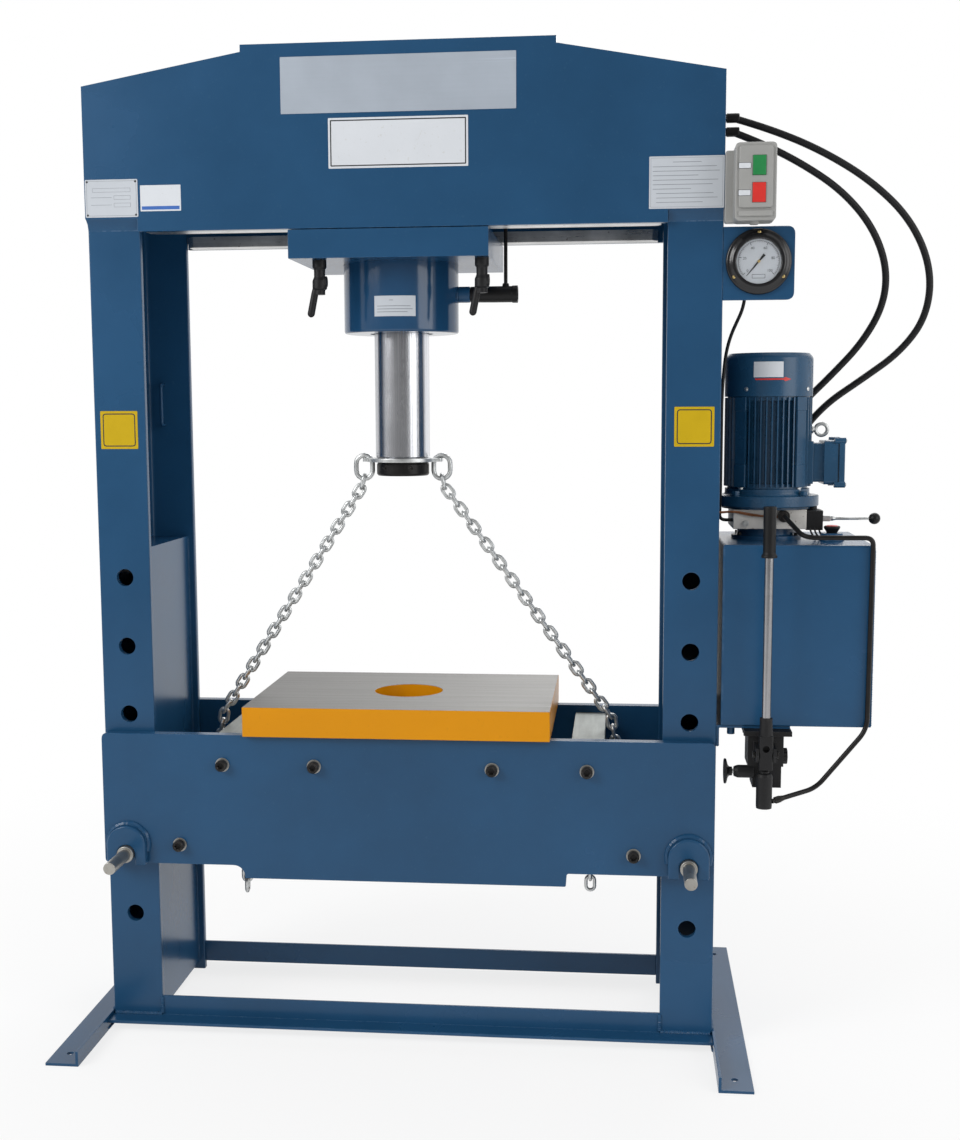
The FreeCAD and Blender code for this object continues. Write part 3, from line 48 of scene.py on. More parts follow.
# Lengths below are millimetres until a piece is made.
# z is up, +x is the power unit's side and the front faces -y.

camera = dict(place=(0.4522, -3.2460, 1.3359), tilt=83.26, roll=0.281, turn=5.856, lens=47.34,
              shift=(0.0111, 0.0154))
lens = bpy.data.cameras.new("camera")
lens.lens = camera["lens"]
lens.sensor_width = 36
lens.shift_x, lens.shift_y = camera["shift"]
lens.clip_end = 60
eye = bpy.data.objects.new("camera", lens)
eye.location = camera["place"]
eye.rotation_euler = [math.radians(camera[k]) for k in ("tilt", "roll", "turn")]
bpy.context.scene.collection.objects.link(eye)
bpy.context.scene.camera = eye


# A node with its settings; each named input is linked to a socket or set to a value.
def addNode(tree, kind, links=(), **settings):
    node = tree.nodes.new(kind)
    for key, value in settings.items():
        setattr(node, key, value)
    for socket, source in links:
        if hasattr(source, "is_output"):
            tree.links.new(source, node.inputs[socket])
        else:
            node.inputs[socket].default_value = source
    return node


# Result of one operation on two values, each a socket or a number.
def addMath(tree, operation, a, b):
    return addNode(tree, "ShaderNodeMath", [(0, a), (1, b)], operation=operation).outputs[0]


# Fractal noise with so many waves a metre.
def addNoise(tree, vector, scale, detail, roughness=0.5, distortion=0.0):
    return addNode(tree, "ShaderNodeTexNoise", [
        ("Vector", vector), ("Scale", scale), ("Detail", detail), ("Roughness", roughness),
        ("Distortion", distortion)]).outputs[0]


# Value carried from one range to another, and held inside the second.
def addRange(tree, value, low, high, toLow=0.0, toHigh=1.0, shape="LINEAR"):
    return addNode(tree, "ShaderNodeMapRange", [
        ("Value", value), ("From Min", low), ("From Max", high), ("To Min", toLow), ("To Max", toHigh)],
        interpolation_type=shape).outputs[0]


# First colour going over into the second as the share rises from 0 to 1.
def addMix(tree, share, a, b):
    return addNode(tree, "ShaderNodeMix", [(0, share), (6, a), (7, b)], data_type="RGBA").outputs[2]


# Surface effect that several finishes share: a vector and further inputs in, single values out.
def newGroup(name, inputs, outputs):
    group = bpy.data.node_groups.new(name, "ShaderNodeTree")
    group.interface.new_socket(name="Vector", in_out="INPUT", socket_type="NodeSocketVector")
    for label, value in inputs.items():
        kind = "NodeSocketVector" if isinstance(value, tuple) else "NodeSocketFloat"
        socket = group.interface.new_socket(name=label, in_out="INPUT", socket_type=kind)
        socket.default_value = value
    for label in outputs:
        group.interface.new_socket(name=label, in_out="OUTPUT", socket_type="NodeSocketFloat")
    return group, group.nodes.new("NodeGroupInput").outputs, group.nodes.new("NodeGroupOutput").inputs


# Broad cloudy tone, fine grain and scattered specks, each from 0 to 1.
def makeGrainGroup():
    tree, given, out = newGroup("surfaceGrain", {"Broad": 3.0, "Fine": 300.0}, ("Tone", "Grain", "Specks"))
    where = given["Vector"]
    coarser = addMath(tree, "MULTIPLY", given["Fine"], 0.33)
    tone = addRange(tree, addNoise(tree, where, given["Broad"], 5.0, 0.6), 0.3, 0.7)
    specks = addRange(tree, addNoise(tree, where, coarser, 1.0), 0.69, 0.76)
    tree.links.new(tone, out["Tone"])
    tree.links.new(addNoise(tree, where, given["Fine"], 2.0), out["Grain"])
    tree.links.new(specks, out["Specks"])
    return tree


# Mask that is 1 along edges: where the rounded normal leaves the true one, broken up by noise. The colour
# laid on with it is rubbed surface; on the blue paints, whose edge colour is lighter, it is also a painted
# highlight along rounded edges.
def makeEdgeWearAndHighlightGroup():
    tree, given, out = newGroup("rubbedEdgesAndPaintedHighlights", {"Break": 40.0}, ("Mask",))
    soft = addNode(tree, "ShaderNodeBevel", [("Radius", 0.0025)], samples=4).outputs[0]
    true = tree.nodes.new("ShaderNodeNewGeometry").outputs["Normal"]
    dot = addNode(tree, "ShaderNodeVectorMath", [(0, soft), (1, true)], operation="DOT_PRODUCT")
    off = addRange(tree, dot.outputs["Value"], 0.995, 0.85)
    patchiness = addRange(tree, addNoise(tree, given["Vector"], given["Break"], 4.0, 0.65), 0.42, 0.62)
    tree.links.new(addMath(tree, "MULTIPLY", off, patchiness), out["Mask"])
    return tree


# Long fine lines along one direction, and a few scratches among them, each from 0 to 1. On most finishes the
# lines are drawn marks; on chrome they are mostly painted reflection streaks.
def makeStreakGroup():
    tree, given, out = newGroup("drawnLinesAndReflectionStreaks", {"Stretch": (1.0, 1.0, 1.0)}, ("Lines", "Scratches"))
    pulled = addNode(tree, "ShaderNodeVectorMath", [(0, given["Vector"]), (1, given["Stretch"])],
                     operation="MULTIPLY").outputs[0]
    tree.links.new(addRange(tree, addNoise(tree, pulled, 1.0, 6.0, 0.7), 0.34, 0.66), out["Lines"])
    tree.links.new(addRange(tree, addNoise(tree, pulled, 0.31, 2.0, 0.4, 0.6), 0.66, 0.7), out["Scratches"])
    return tree


grainGroup = makeGrainGroup()
edgeWearAndHighlightGroup = makeEdgeWearAndHighlightGroup()
streakGroup = makeStreakGroup()
# Tones and roughness of lines, scratches and edges; the line tone also darkens the painted reflection
# streaks on chrome.
wearAndPaintedLight = dict(lineTone=0.45, scratchTone=1.35, scratchShare=0.5, lineRough=0.12, edgeRough=0.15, relief=0.001)


# One finish: a colour that drifts with the tone, with lines, specks and edge colour laid over it, and
# roughness and bump from the same masks. On chrome the lines are mostly painted reflection streaks, and on
# the blue paints the lighter edges are partly a painted highlight. edge, dust and lines are each a colour or
# stretch and a share.
def makeFinish(name, colour, rough, metal=0.0, specular=0.5, tone=0.1, broad=30.0, fine=500.0, grain=0.3,
               bump=0.1, drift=0.08, edge=None, dust=None, lines=None):
    material = bpy.data.materials.new(name)
    material.use_nodes = True
    tree = material.node_tree
    where = tree.nodes.new("ShaderNodeTexCoord").outputs["Object"]

    def shade(k):
        return tuple(min(1.0, c * k) for c in colour) + (1.0,)

    def times(a, b):
        return addMath(tree, "MULTIPLY", a, b)

    def plus(a, b):
        return addMath(tree, "ADD", a, b)

    def effect(group, *inputs):
        return addNode(tree, "ShaderNodeGroup", [("Vector", where), *inputs], node_tree=group).outputs

    grains = effect(grainGroup, ("Broad", broad), ("Fine", fine))
    mixed = addMix(tree, grains["Tone"], shade(1 - tone), shade(1 + tone))
    height = times(grains["Grain"], grain)
    roughness = plus(times(grains["Tone"], drift), rough - drift / 2)
    # Lines: drawn marks; on chrome mostly painted reflection streaks.
    if lines:
        streaks = effect(streakGroup, ("Stretch", lines[0]))
        drawnAndReflected = times(streaks["Lines"], lines[1])
        mixed = addMix(tree, drawnAndReflected, mixed, shade(wearAndPaintedLight["lineTone"]))
        scratched = times(streaks["Scratches"], wearAndPaintedLight["scratchShare"])
        mixed = addMix(tree, scratched, mixed, shade(wearAndPaintedLight["scratchTone"]))
        height = plus(height, drawnAndReflected)
        roughness = plus(roughness, times(streaks["Lines"], wearAndPaintedLight["lineRough"]))
    if dust:
        mixed = addMix(tree, times(grains["Specks"], dust[1]), mixed, dust[0] + (1.0,))
    # Edge colour: rubbed surface; on the blue paints partly a painted highlight along rounded edges.
    if edge:
        share = times(effect(edgeWearAndHighlightGroup)["Mask"], edge[1])
        mixed = addMix(tree, share, mixed, edge[0] + (1.0,))
        roughness = plus(roughness, times(share, wearAndPaintedLight["edgeRough"]))
    roughness.node.use_clamp = True
    relief = addNode(tree, "ShaderNodeBump", [
        ("Strength", bump), ("Distance", wearAndPaintedLight["relief"]), ("Height", height)])
    shader = tree.nodes["Principled BSDF"]
    tree.links.new(mixed, shader.inputs["Base Color"])
    tree.links.new(roughness, shader.inputs["Roughness"])
    tree.links.new(relief.outputs[0], shader.inputs["Normal"])
    shader.inputs["Metallic"].default_value = metal
    shader.inputs["Specular IOR Level"].default_value = specular
    return material


# Each finish has the material slot that it fills, its colour, and what makes its surface differ from the
# rest.
finishes = {
    # Blue paint: its lighter edge colour is partly rubbed paint and partly a painted highlight along rounded
    # edges.
    "bluePaint": dict(
        slot="blue_paint", colour=(0.013, 0.066, 0.150), rough=0.25, specular=0.3, tone=0.14, broad=2.2,
        fine=520.0, grain=0.25, bump=0.05, edge=((0.10, 0.18, 0.29), 0.45), dust=((0.03, 0.09, 0.17), 0.3)),
    "cylinderBlue": dict(
        slot="blue_paint", colour=(0.012, 0.058, 0.135), rough=0.13, broad=4.0, fine=400.0, grain=0.1,
        bump=0.03, drift=0.05),
    # Motor blue: its lighter edge colour is partly rubbed paint and partly a painted highlight along rounded
    # edges.
    "motorBlue": dict(
        slot="blue_paint", colour=(0.012, 0.064, 0.135), rough=0.27, specular=0.45, tone=0.16, broad=9.0,
        fine=300.0, grain=0.5, bump=0.12, edge=((0.07, 0.14, 0.24), 0.45), dust=((0.04, 0.09, 0.15), 0.25)),
    "yellowPaint": dict(
        slot="yellow_paint", colour=(0.63, 0.25, 0.001), rough=0.34, specular=0.2, tone=0.04, broad=5.0,
        fine=380.0, edge=((0.16, 0.08, 0.02), 0.8), dust=((0.42, 0.17, 0.005), 0.15)),
    "groundSteel": dict(
        slot="bare_steel", colour=(0.20, 0.196, 0.188), rough=0.42, metal=0.8, broad=4.0, grain=0.2,
        bump=0.08, lines=((2.0, 260.0, 60.0), 0.2), dust=((0.12, 0.09, 0.07), 0.5)),
    "bareSteel": dict(
        slot="bare_steel", colour=(0.40, 0.39, 0.36), rough=0.36, metal=0.9, tone=0.22, broad=14.0,
        fine=400.0, lines=((30.0, 90.0, 30.0), 0.25), dust=((0.22, 0.13, 0.07), 0.6),
        edge=((0.75, 0.73, 0.7), 0.5)),
    "railSteel": dict(
        slot="bare_steel", colour=(0.62, 0.62, 0.61), rough=0.26, metal=0.85, tone=0.5, broad=7.0,
        fine=300.0, lines=((4.0, 120.0, 160.0), 0.4), dust=((0.10, 0.07, 0.05), 0.7)),
    "sawnSteel": dict(
        slot="bare_steel", colour=(0.31, 0.33, 0.315), rough=0.48, metal=0.5, tone=0.15, broad=10.0,
        fine=300.0, bump=0.12, lines=((90.0, 6.0, 90.0), 0.2), edge=((0.2, 0.22, 0.24), 0.4)),
    # Chrome: its strong dark lines along the rod are mostly painted reflection streaks over fine hone lines.
    "chrome": dict(
        slot="chrome", colour=(0.70, 0.71, 0.745), rough=0.17, metal=1.0, tone=0.05, broad=6.0, grain=0.05,
        bump=0.16, drift=0.05, lines=((150.0, 150.0, 0.8), 0.75)),
    "tubeSteel": dict(
        slot="chrome", colour=(0.36, 0.36, 0.37), rough=0.2, metal=1.0, broad=10.0, grain=0.1, bump=0.06,
        drift=0.06, lines=((300.0, 300.0, 2.0), 0.35)),
    "zinc": dict(
        slot="zinc", colour=(0.60, 0.612, 0.61), rough=0.34, metal=0.85, tone=0.2, broad=60.0, bump=0.15,
        edge=((0.85, 0.85, 0.83), 0.3), dust=((0.2, 0.2, 0.19), 0.5)),
    "brass": dict(
        slot="zinc", colour=(0.62, 0.46, 0.19), rough=0.3, metal=1.0, broad=60.0, fine=700.0, grain=0.2),
    "copper": dict(
        slot="zinc", colour=(0.42, 0.18, 0.09), rough=0.35, metal=0.9, tone=0.25, broad=40.0, grain=0.2),
    "blackOxide": dict(
        slot="black_oxide", colour=(0.012, 0.011, 0.011), rough=0.36, metal=0.3, specular=0.3, tone=0.3,
        edge=((0.16, 0.15, 0.14), 0.6)),
    "blackCast": dict(
        slot="black_cast", colour=(0.008, 0.008, 0.009), rough=0.5, specular=0.3, tone=0.3, broad=18.0,
        fine=260.0, grain=0.9, bump=0.3, edge=((0.07, 0.07, 0.075), 0.6), dust=((0.03, 0.028, 0.025), 0.4)),
    "glossBlack": dict(
        slot="black_plastic", colour=(0.006, 0.006, 0.007), rough=0.2, tone=0.2, broad=25.0, fine=600.0,
        grain=0.2, bump=0.06, edge=((0.04, 0.04, 0.045), 0.3)),
    "blackPlastic": dict(
        slot="black_plastic", colour=(0.007, 0.007, 0.0075), rough=0.42, specular=0.25, tone=0.2, broad=25.0,
        fine=600.0, grain=0.4, bump=0.14, edge=((0.05, 0.05, 0.055), 0.4)),
    "hoseRubber": dict(
        slot="black_rubber", colour=(0.008, 0.008, 0.009), rough=0.45, specular=0.25, tone=0.25, broad=20.0,
        fine=700.0, grain=0.6, bump=0.2, dust=((0.02, 0.02, 0.02), 0.3)),
    "castAluminium": dict(
        slot="bare_block", colour=(0.66, 0.635, 0.595), rough=0.45, metal=0.2, tone=0.12, broad=20.0,
        fine=400.0, grain=0.5, bump=0.2, lines=((8.0, 8.0, 240.0), 0.12), edge=((0.75, 0.73, 0.7), 0.4),
        dust=((0.15, 0.10, 0.06), 0.6)),
    "greyPlastic": dict(
        slot="grey_plastic", colour=(0.315, 0.315, 0.305), rough=0.42, specular=0.35, tone=0.04, broad=14.0,
        fine=700.0, grain=0.4, edge=((0.45, 0.45, 0.44), 0.25)),
    "greenPlastic": dict(
        slot="green_plastic", colour=(0.012, 0.21, 0.055), rough=0.35, tone=0.06, fine=700.0, bump=0.08,
        edge=((0.05, 0.35, 0.13), 0.3)),
    "redPlastic": dict(
        slot="red_plastic", colour=(0.60, 0.022, 0.016), rough=0.35, tone=0.06, fine=700.0, bump=0.08,
        edge=((0.75, 0.1, 0.08), 0.3)),
    "plateWhite": dict(
        slot="plate_white", colour=(0.62, 0.645, 0.68), rough=0.35, specular=0.3, tone=0.03, broad=8.0,
        grain=0.15, bump=0.05, dust=((0.5, 0.5, 0.48), 0.4)),
    "plateSilver": dict(
        slot="plate_white", colour=(0.38, 0.425, 0.485), rough=0.36, metal=0.15, specular=0.4, tone=0.05,
        broad=8.0, grain=0.2, bump=0.05, lines=((3.0, 200.0, 200.0), 0.05)),
    "plateGrey": dict(
        slot="plate_white", colour=(0.50, 0.53, 0.57), rough=0.38, specular=0.3, tone=0.03, broad=8.0,
        grain=0.15, bump=0.05),
    "printGrey": dict(slot="plate_white", colour=(0.22, 0.24, 0.27), rough=0.4, grain=0.1, bump=0.03),
    "printBlack": dict(
        slot="black_plastic", colour=(0.02, 0.02, 0.022), rough=0.45, tone=0.2, grain=0.2, bump=0.04),
    "printBlue": dict(slot="blue_paint", colour=(0.03, 0.12, 0.42), rough=0.4, grain=0.2, bump=0.04),
    "signYellow": dict(
        slot="sticker_yellow", colour=(0.53, 0.355, 0.003), rough=0.4, specular=0.25, tone=0.05, broad=12.0,
        grain=0.15, bump=0.05, edge=((0.45, 0.32, 0.04), 0.3)),
    "dialWhite": dict(
        slot="plate_white", colour=(0.62, 0.66, 0.71), rough=0.45, tone=0.03, broad=20.0, grain=0.15,
        bump=0.03),
}
slots = {name: spec.pop("slot") for name, spec in finishes.items()}
made = {name: makeFinish(name, **spec) for name, spec in finishes.items()}
print("finishes made", len(made))


# Shapes: each is a shell of points, faces and the index of its finish.
def gridFaces(rows, cols, wrapRows=False):
    r = np.arange(rows if wrapRows else rows - 1)[:, None]
    c = np.arange(cols)[None, :]
    s = (r + 1) % rows
    d = (c + 1) % cols
    return np.stack([r * cols + c, r * cols + d, s * cols + d, s * cols + c], -1).reshape(-1, 4).tolist()


# Two coordinates across and one along a named axis, put in x, y, z order.
def alongAxis(u, v, h, axis):
    order = {"z": (u, v, h), "y": (u, h, v), "x": (h, u, v)}[axis]
    return np.stack(np.broadcast_arrays(*order), -1).reshape(-1, 3)


# Corners of an outline or a path replaced by short curves, each of which starts and ends one radius from its
# corner.
def eased(points, radius, steps=5, closed=False):
    pts = [np.array(q, float) for q in points]
    radii = radius if hasattr(radius, "__len__") else [radius] * len(pts)
    out = []
    for i, q in enumerate(pts):
        if radii[i] == 0 or (not closed and i in (0, len(pts) - 1)):
            out.append(q)
            continue
        a = pts[i - 1] - q
        b = pts[(i + 1) % len(pts)] - q
        s = q + a * min(radii[i] / np.linalg.norm(a), 0.49)
        e = q + b * min(radii[i] / np.linalg.norm(b), 0.49)
        t = np.linspace(0, 1, steps)[:, None]
        out.extend((1 - t) ** 2 * s + 2 * t * (1 - t) * q + t ** 2 * e)
    return np.array(out)


# Profile of radius and height turned once round an axis: point = (r cos a, r sin a, h).
def turned(profile, at=(0, 0, 0), axis="z", sides=56, finish=0, radius=None):
    p = np.array(profile, float)
    starts = p[0, 0] < 1e-9
    ends = p[-1, 0] < 1e-9
    rows = p[int(starts):len(p) - int(ends)]
    a = np.linspace(0, 2 * np.pi, sides, endpoint=False)
    r = rows[:, :1] if radius is None else radius(rows[:, :1], a)
    pts = alongAxis(r * np.cos(a), r * np.sin(a), np.repeat(rows[:, 1:2], sides, 1), axis) + at
    faces = gridFaces(len(rows), sides, wrapRows=not (starts or ends))
    k = np.arange(sides)
    nxt = (k + 1) % sides
    for there, row, tip in ((starts, 0, p[0]), (ends, len(rows) - 1, p[-1])):
        if there:
            centre = len(pts)
            pts = np.vstack([pts, alongAxis(0.0, 0.0, tip[1], axis) + at])
            faces += np.stack([row * sides + k, row * sides + nxt, np.full(sides, centre)], -1).tolist()
    return pts, faces, finish


# Profile with eased corners, turned; two poles close it on the axis at their heights.
def lathed(profile, ease, steps, at, axis, sides, finish=0, poles=(), closed=False):
    rows = eased(profile, ease, steps, closed)
    if poles:
        rows = np.vstack([[(0, poles[0])], rows, [(0, poles[1])]])
    return turned(rows, at, axis, sides, finish)


# Plain round bar from one level to another, with its two rims eased.
def roundBar(radius, lo, hi, ease, steps, at, axis, sides, finish=0):
    return lathed([(0, lo), (radius, lo), (radius, hi), (0, hi)], ease, steps, at, axis, sides, finish)


# Flat outline carried straight along an axis from one level to another.
def prism(outline, lo, hi, axis="z", finish=0):
    o = np.array(outline, float)
    n = len(o)
    pts = np.vstack([alongAxis(o[:, 0], o[:, 1], np.full(n, float(h)), axis) for h in (lo, hi)])
    return pts, gridFaces(2, n) + [list(range(n))[::-1], list(range(n, 2 * n))], finish


# Outline of a rectangle between its sides, its corners rounded.
def rect(x0, x1, y0, y1, radius=0, steps=5):
    corners = [(x0, y0), (x1, y0), (x1, y1), (x0, y1)]
    return eased(corners, radius, steps, closed=True) if radius else np.array(corners, float)


# Points at equal angles round a centre; six of them make a hexagon.
def circle(x, y, r, n=40, first=0.0):
    a = np.linspace(0, 2 * np.pi, n, endpoint=False) + first
    return np.stack([x + r * np.cos(a), y + r * np.sin(a)], -1)


# Arc round a point from one angle to another, in degrees.
def arc(x, z, r, start, end, n=24):
    a = np.radians(np.linspace(start, end, n))
    return np.stack([x + r * np.cos(a), z + r * np.sin(a)], -1)


# Point at one distance and angle from a centre.
def polar(x, y, r, degrees):
    return x + r * math.cos(math.radians(degrees)), y + r * math.sin(math.radians(degrees))


# Outline in x and z as a path at one y.
def upright(outline, y):
    return np.stack([outline[:, 0], np.full(len(outline), float(y)), outline[:, 1]], -1)


# Round section carried along a path, square to it everywhere. Its zero direction is the cross product of the
# path with whichever fixed direction stays furthest from parallel to it all along.
def swept(path, radius, sides=14, finish=0, closed=False):
    p = np.array(path, float)
    if closed:
        way = np.roll(p, -1, 0) - np.roll(p, 1, 0)
    else:
        way = np.gradient(p, axis=0)
    way /= np.linalg.norm(way, axis=1)[:, None]
    fixed = ((1, 0, 0), (0, 1, 0), (0, 0, 1), (1, 1, 1), (1, -1, 1), (1, 1, -1))
    u = max((np.cross(way, v) for v in fixed), key=lambda c: np.linalg.norm(c, axis=1).min())
    u /= np.linalg.norm(u, axis=1)[:, None]
    w = np.cross(way, u)
    a = np.linspace(0, 2 * np.pi, sides, endpoint=False)
    r = np.broadcast_to(np.asarray(radius, float), (len(p),))[:, None, None]
    pts = p[:, None] + r * (u[:, None] * np.cos(a)[:, None] + w[:, None] * np.sin(a)[:, None])
    n = len(p)
    faces = gridFaces(n, sides, wrapRows=closed)
    if not closed:
        faces += [list(range(sides))[::-1], list(range((n - 1) * sides, n * sides))]
    return pts.reshape(-1, 3), faces, finish


# Shell swung by degrees about z, or about y, then carried to a place.
def spun(shell, degrees, place, about="z"):
    u = math.cos(math.radians(degrees))
    v = math.sin(math.radians(degrees))
    turn = [[u, v, 0], [-v, u, 0], [0, 0, 1]] if about == "z" else [[u, 0, v], [0, 1, 0], [-v, 0, u]]
    return shell[0] @ np.array(turn) + place, shell[1], shell[2]


# Mesh of shells one after another, scaled to metres, each face with its finish index.
def meshOf(shells, name="work"):
    count = 0
    points = []
    faces = []
    finish = []
    for pts, fs, index in shells:
        points.append(pts)
        faces += [[count + i for i in f] for f in fs]
        finish += list(index) if hasattr(index, "__len__") else [index] * len(fs)
        count += len(pts)
    mesh = bpy.data.meshes.new(name)
    mesh.from_pydata((np.vstack(points) * 0.001).tolist(), [], faces)
    mesh.polygons.foreach_set("material_index", finish)
    return mesh


# Shell of a mesh, which is removed.
def shellOf(mesh):
    co = np.zeros(len(mesh.vertices) * 3)
    mesh.vertices.foreach_get("co", co)
    index = np.zeros(len(mesh.polygons), int)
    mesh.polygons.foreach_get("material_index", index)
    faces = [list(p.vertices) for p in mesh.polygons]
    bpy.data.meshes.remove(mesh)
    return co.reshape(-1, 3) * 1000, faces, index.tolist()


# Mesh with all its faces turned outwards.
def facedOut(mesh):
    work = bmesh.new()
    work.from_mesh(mesh)
    bmesh.ops.recalc_face_normals(work, faces=work.faces)
    work.to_mesh(mesh)
    work.free()
    return mesh


# New object in the scene that holds a mesh or a curve.
def placedThing(name, data):
    thing = bpy.data.objects.new(name, data)
    bpy.context.scene.collection.objects.link(thing)
    return thing


# Mesh of an object with its modifiers or its letters worked out.
def settled(thing):
    bpy.context.view_layer.update()
    return bpy.data.meshes.new_from_object(thing.evaluated_get(bpy.context.evaluated_depsgraph_get()))


# Copy of a CAD node with its loose triangles joined into flat faces.
def copyOf(node):
    work = bmesh.new()
    work.from_mesh(nodes[node].data)
    bmesh.ops.remove_doubles(work, verts=work.verts, dist=2e-6)
    bmesh.ops.dissolve_limit(work, angle_limit=math.radians(1.5), verts=work.verts, edges=work.edges)
    work.verts.index_update()
    pts = np.array([v.co for v in work.verts]) * 1000
    faces = [[v.index for v in f.verts] for f in work.faces]
    work.free()
    return pts, faces, 0


# Edges sharper than an angle rounded by a width.
def rounded(shell, width, segments=2, angle=30):
    work = bmesh.new()
    mesh = meshOf([shell])
    work.from_mesh(mesh)
    bmesh.ops.recalc_face_normals(work, faces=work.faces)
    sharp = [e for e in work.edges if len(e.link_faces) == 2 and e.calc_face_angle(0) > math.radians(angle)]
    bmesh.ops.bevel(work, geom=sharp, offset=width * 0.001, segments=segments, profile=0.6, affect="EDGES",
                    clamp_overlap=True, material=-1)
    work.to_mesh(mesh)
    work.free()
    return shellOf(mesh)


# One shell less others, worked out by Blender's exact boolean.
def less(shell, others):
    work = [placedThing("work", facedOut(meshOf(shells))) for shells in ([shell], others)]
    tool = work[0].modifiers.new("cut", "BOOLEAN")
    tool.operation = "DIFFERENCE"
    tool.object = work[1]
    tool.solver = "EXACT"
    points, faces, _ = shellOf(settled(work[0]))
    for thing in work:
        bpy.data.meshes.remove(thing.data)
    return points, faces, 0 if hasattr(shell[2], "__len__") else shell[2]


# Name of a piece as the CAD writes it: leftPin is left_pin there.
def cadName(name):
    return "".join("_" + c.lower() if c.isupper() else c for c in name)


# One object from its shells, with finishes by name. It rides on a body and replaces a CAD node, which is the
# one given or the one of its own name, if there is one.
def piece(name, shells, look, body="frame", node=None, angle=38):
    looks = [look] if isinstance(look, str) else look
    mesh = facedOut(meshOf(shells, name))
    mesh.shade_smooth()
    mesh.set_sharp_from_angle(angle=math.radians(angle))
    thing = placedThing(name, mesh)
    for finish in looks:
        mesh.materials.append(made[finish])
    thing.modifiers.new("normals", "WEIGHTED_NORMAL").keep_sharp = True
    if body:
        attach(thing, body)
    node = node or cadName(name)
    if node in nodes:
        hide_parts(node)
    return thing


# Rubber hoses, each a smooth curve through points from its fitting on the column to that behind the motor.
hoses = {
    "outerHose": dict(node="outer_hose", length=1.167, points=[
        (676, 0, 1936), (742, 3, 1917), (855, 12, 1872), (965, 26, 1808), (1052, 42, 1728),
        (1099.8, 58, 1628), (1096, 74, 1530), (1046, 92, 1456), (968, 108, 1398), (893, 122, 1345),
        (838, 138, 1275), (812, 150, 1195), (806, 150, 1128)]),
    "innerHose": dict(node="inner_hose", length=1.045, points=[
        (676, 0, 1908), (734, 4, 1886), (820, 14, 1844), (905, 28, 1790), (972, 44, 1718), (1008, 60, 1635),
        (1006, 76, 1555), (966, 94, 1477), (904, 108, 1408), (842, 122, 1345), (790, 138, 1275),
        (754, 150, 1195), (748, 150, 1128)]),
}


def makeHose(name, node, length, points):
    curve = bpy.data.curves.new(name, "CURVE")
    curve.dimensions = "3D"
    curve.bevel_depth = 0.0075
    curve.bevel_resolution = 6
    curve.resolution_u = 14
    curve.use_fill_caps = True
    line = curve.splines.new("NURBS")
    line.points.add(len(points) - 1)
    for point, (x, y, z) in zip(line.points, points):
        point.co = (x * 0.001, y * 0.001, z * 0.001, 1.0)
    line.order_u = 3
    line.use_endpoint_u = True
    curve.materials.append(made["hoseRubber"])
    hose = placedThing(name, curve)
    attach(hose, "frame")
    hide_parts(node)


for name, spec in hoses.items():
    makeHose(name, **spec)
print("hoses made")

# Welded frame: folded column channels with their pin holes, and parts that keep the CAD's form.
column = dict(outer=650, inner=540, deep=175, flange=16, web=12, top=1985, pinX=595, firstHole=252,
              pitch=147, holes=6, holeRadius=18.1, hoseZ=(1936, 1908), hoseHole=9.5, edge=1.6)


# Column: a channel outline carried up, less pin holes at equal steps and, on the right, two hose holes.
def makeColumn(name, side):
    c = column
    webIn = c["outer"] - c["web"]
    tip = c["deep"] - c["flange"]
    outline = [(c["outer"], -c["deep"]), (c["outer"], c["deep"]), (c["inner"], c["deep"]), (c["inner"], tip),
               (webIn, tip), (webIn, -tip), (c["inner"], -tip), (c["inner"], -c["deep"])]
    outline = [(side * x, y) for x, y in outline]
    channel = prism(eased(outline, [3, 3, 2, 3, 9, 9, 3, 2], 5, closed=True), 0, c["top"])
    levels = [c["firstHole"] + c["pitch"] * k for k in range(c["holes"])]
    drills = [prism(circle(side * c["pinX"], z, c["holeRadius"], 56), -200, 200, "y") for z in levels]
    if side > 0:
        drills += [prism(circle(0, z, c["hoseHole"], 32), 600, 700, "x") for z in c["hoseZ"]]
    piece(name, [rounded(less(channel, drills), c["edge"], angle=50)], "bluePaint")


makeColumn("leftColumn", -1)
makeColumn("rightColumn", 1)


# Pieces of one body that keep the CAD's form, with their edges rounded.
def copyPieces(body, **specs):
    for name, (node, look, edge) in specs.items():
        piece(name, [rounded(copyOf(node), edge)], look, body, node)


copyPieces("frame", headFrontPlate=("head_front_plate", "bluePaint", 1.6),
           headRearPlate=("head_rear_plate", "bluePaint", 1.6), headRails=("head_rails", "railSteel", 1.2),
           columnLiners=("column_liners", "bluePaint", 1.5), floorFeet=("feet", "bluePaint", 1.5),
           baseRails=("base_rails", "bluePaint", 1.6), tankShelf=("tank_bracket", "bluePaint", 1.2))
hook = eased([(-602, 160, 1398), (-602, 137, 1398), (-602, 137, 1306), (-602, 160, 1306)], 9, 8)
piece("stowageHook", [swept(hook, 4.0, 16)], "bluePaint")


# Weld bead: a tube whose radius ripples along its run, one ripple for each few millimetres.
def bead(path, radius, ripple=4.5, seed=1, wave=0.1):
    p = np.array(path, float)
    lengths = np.concatenate([[0], np.cumsum(np.linalg.norm(np.diff(p, axis=0), axis=1))])
    s = np.arange(0, lengths[-1], ripple / 4)
    run = np.stack([np.interp(s, lengths, p[:, k]) for k in range(3)], -1)
    rough = np.random.default_rng(seed).normal(0, wave / 2, len(s))
    r = radius * (1 + wave * np.sin(2 * np.pi * s / ripple) + rough)
    r[0] = r[-1] = radius * 0.4
    return swept(run, r, 8)


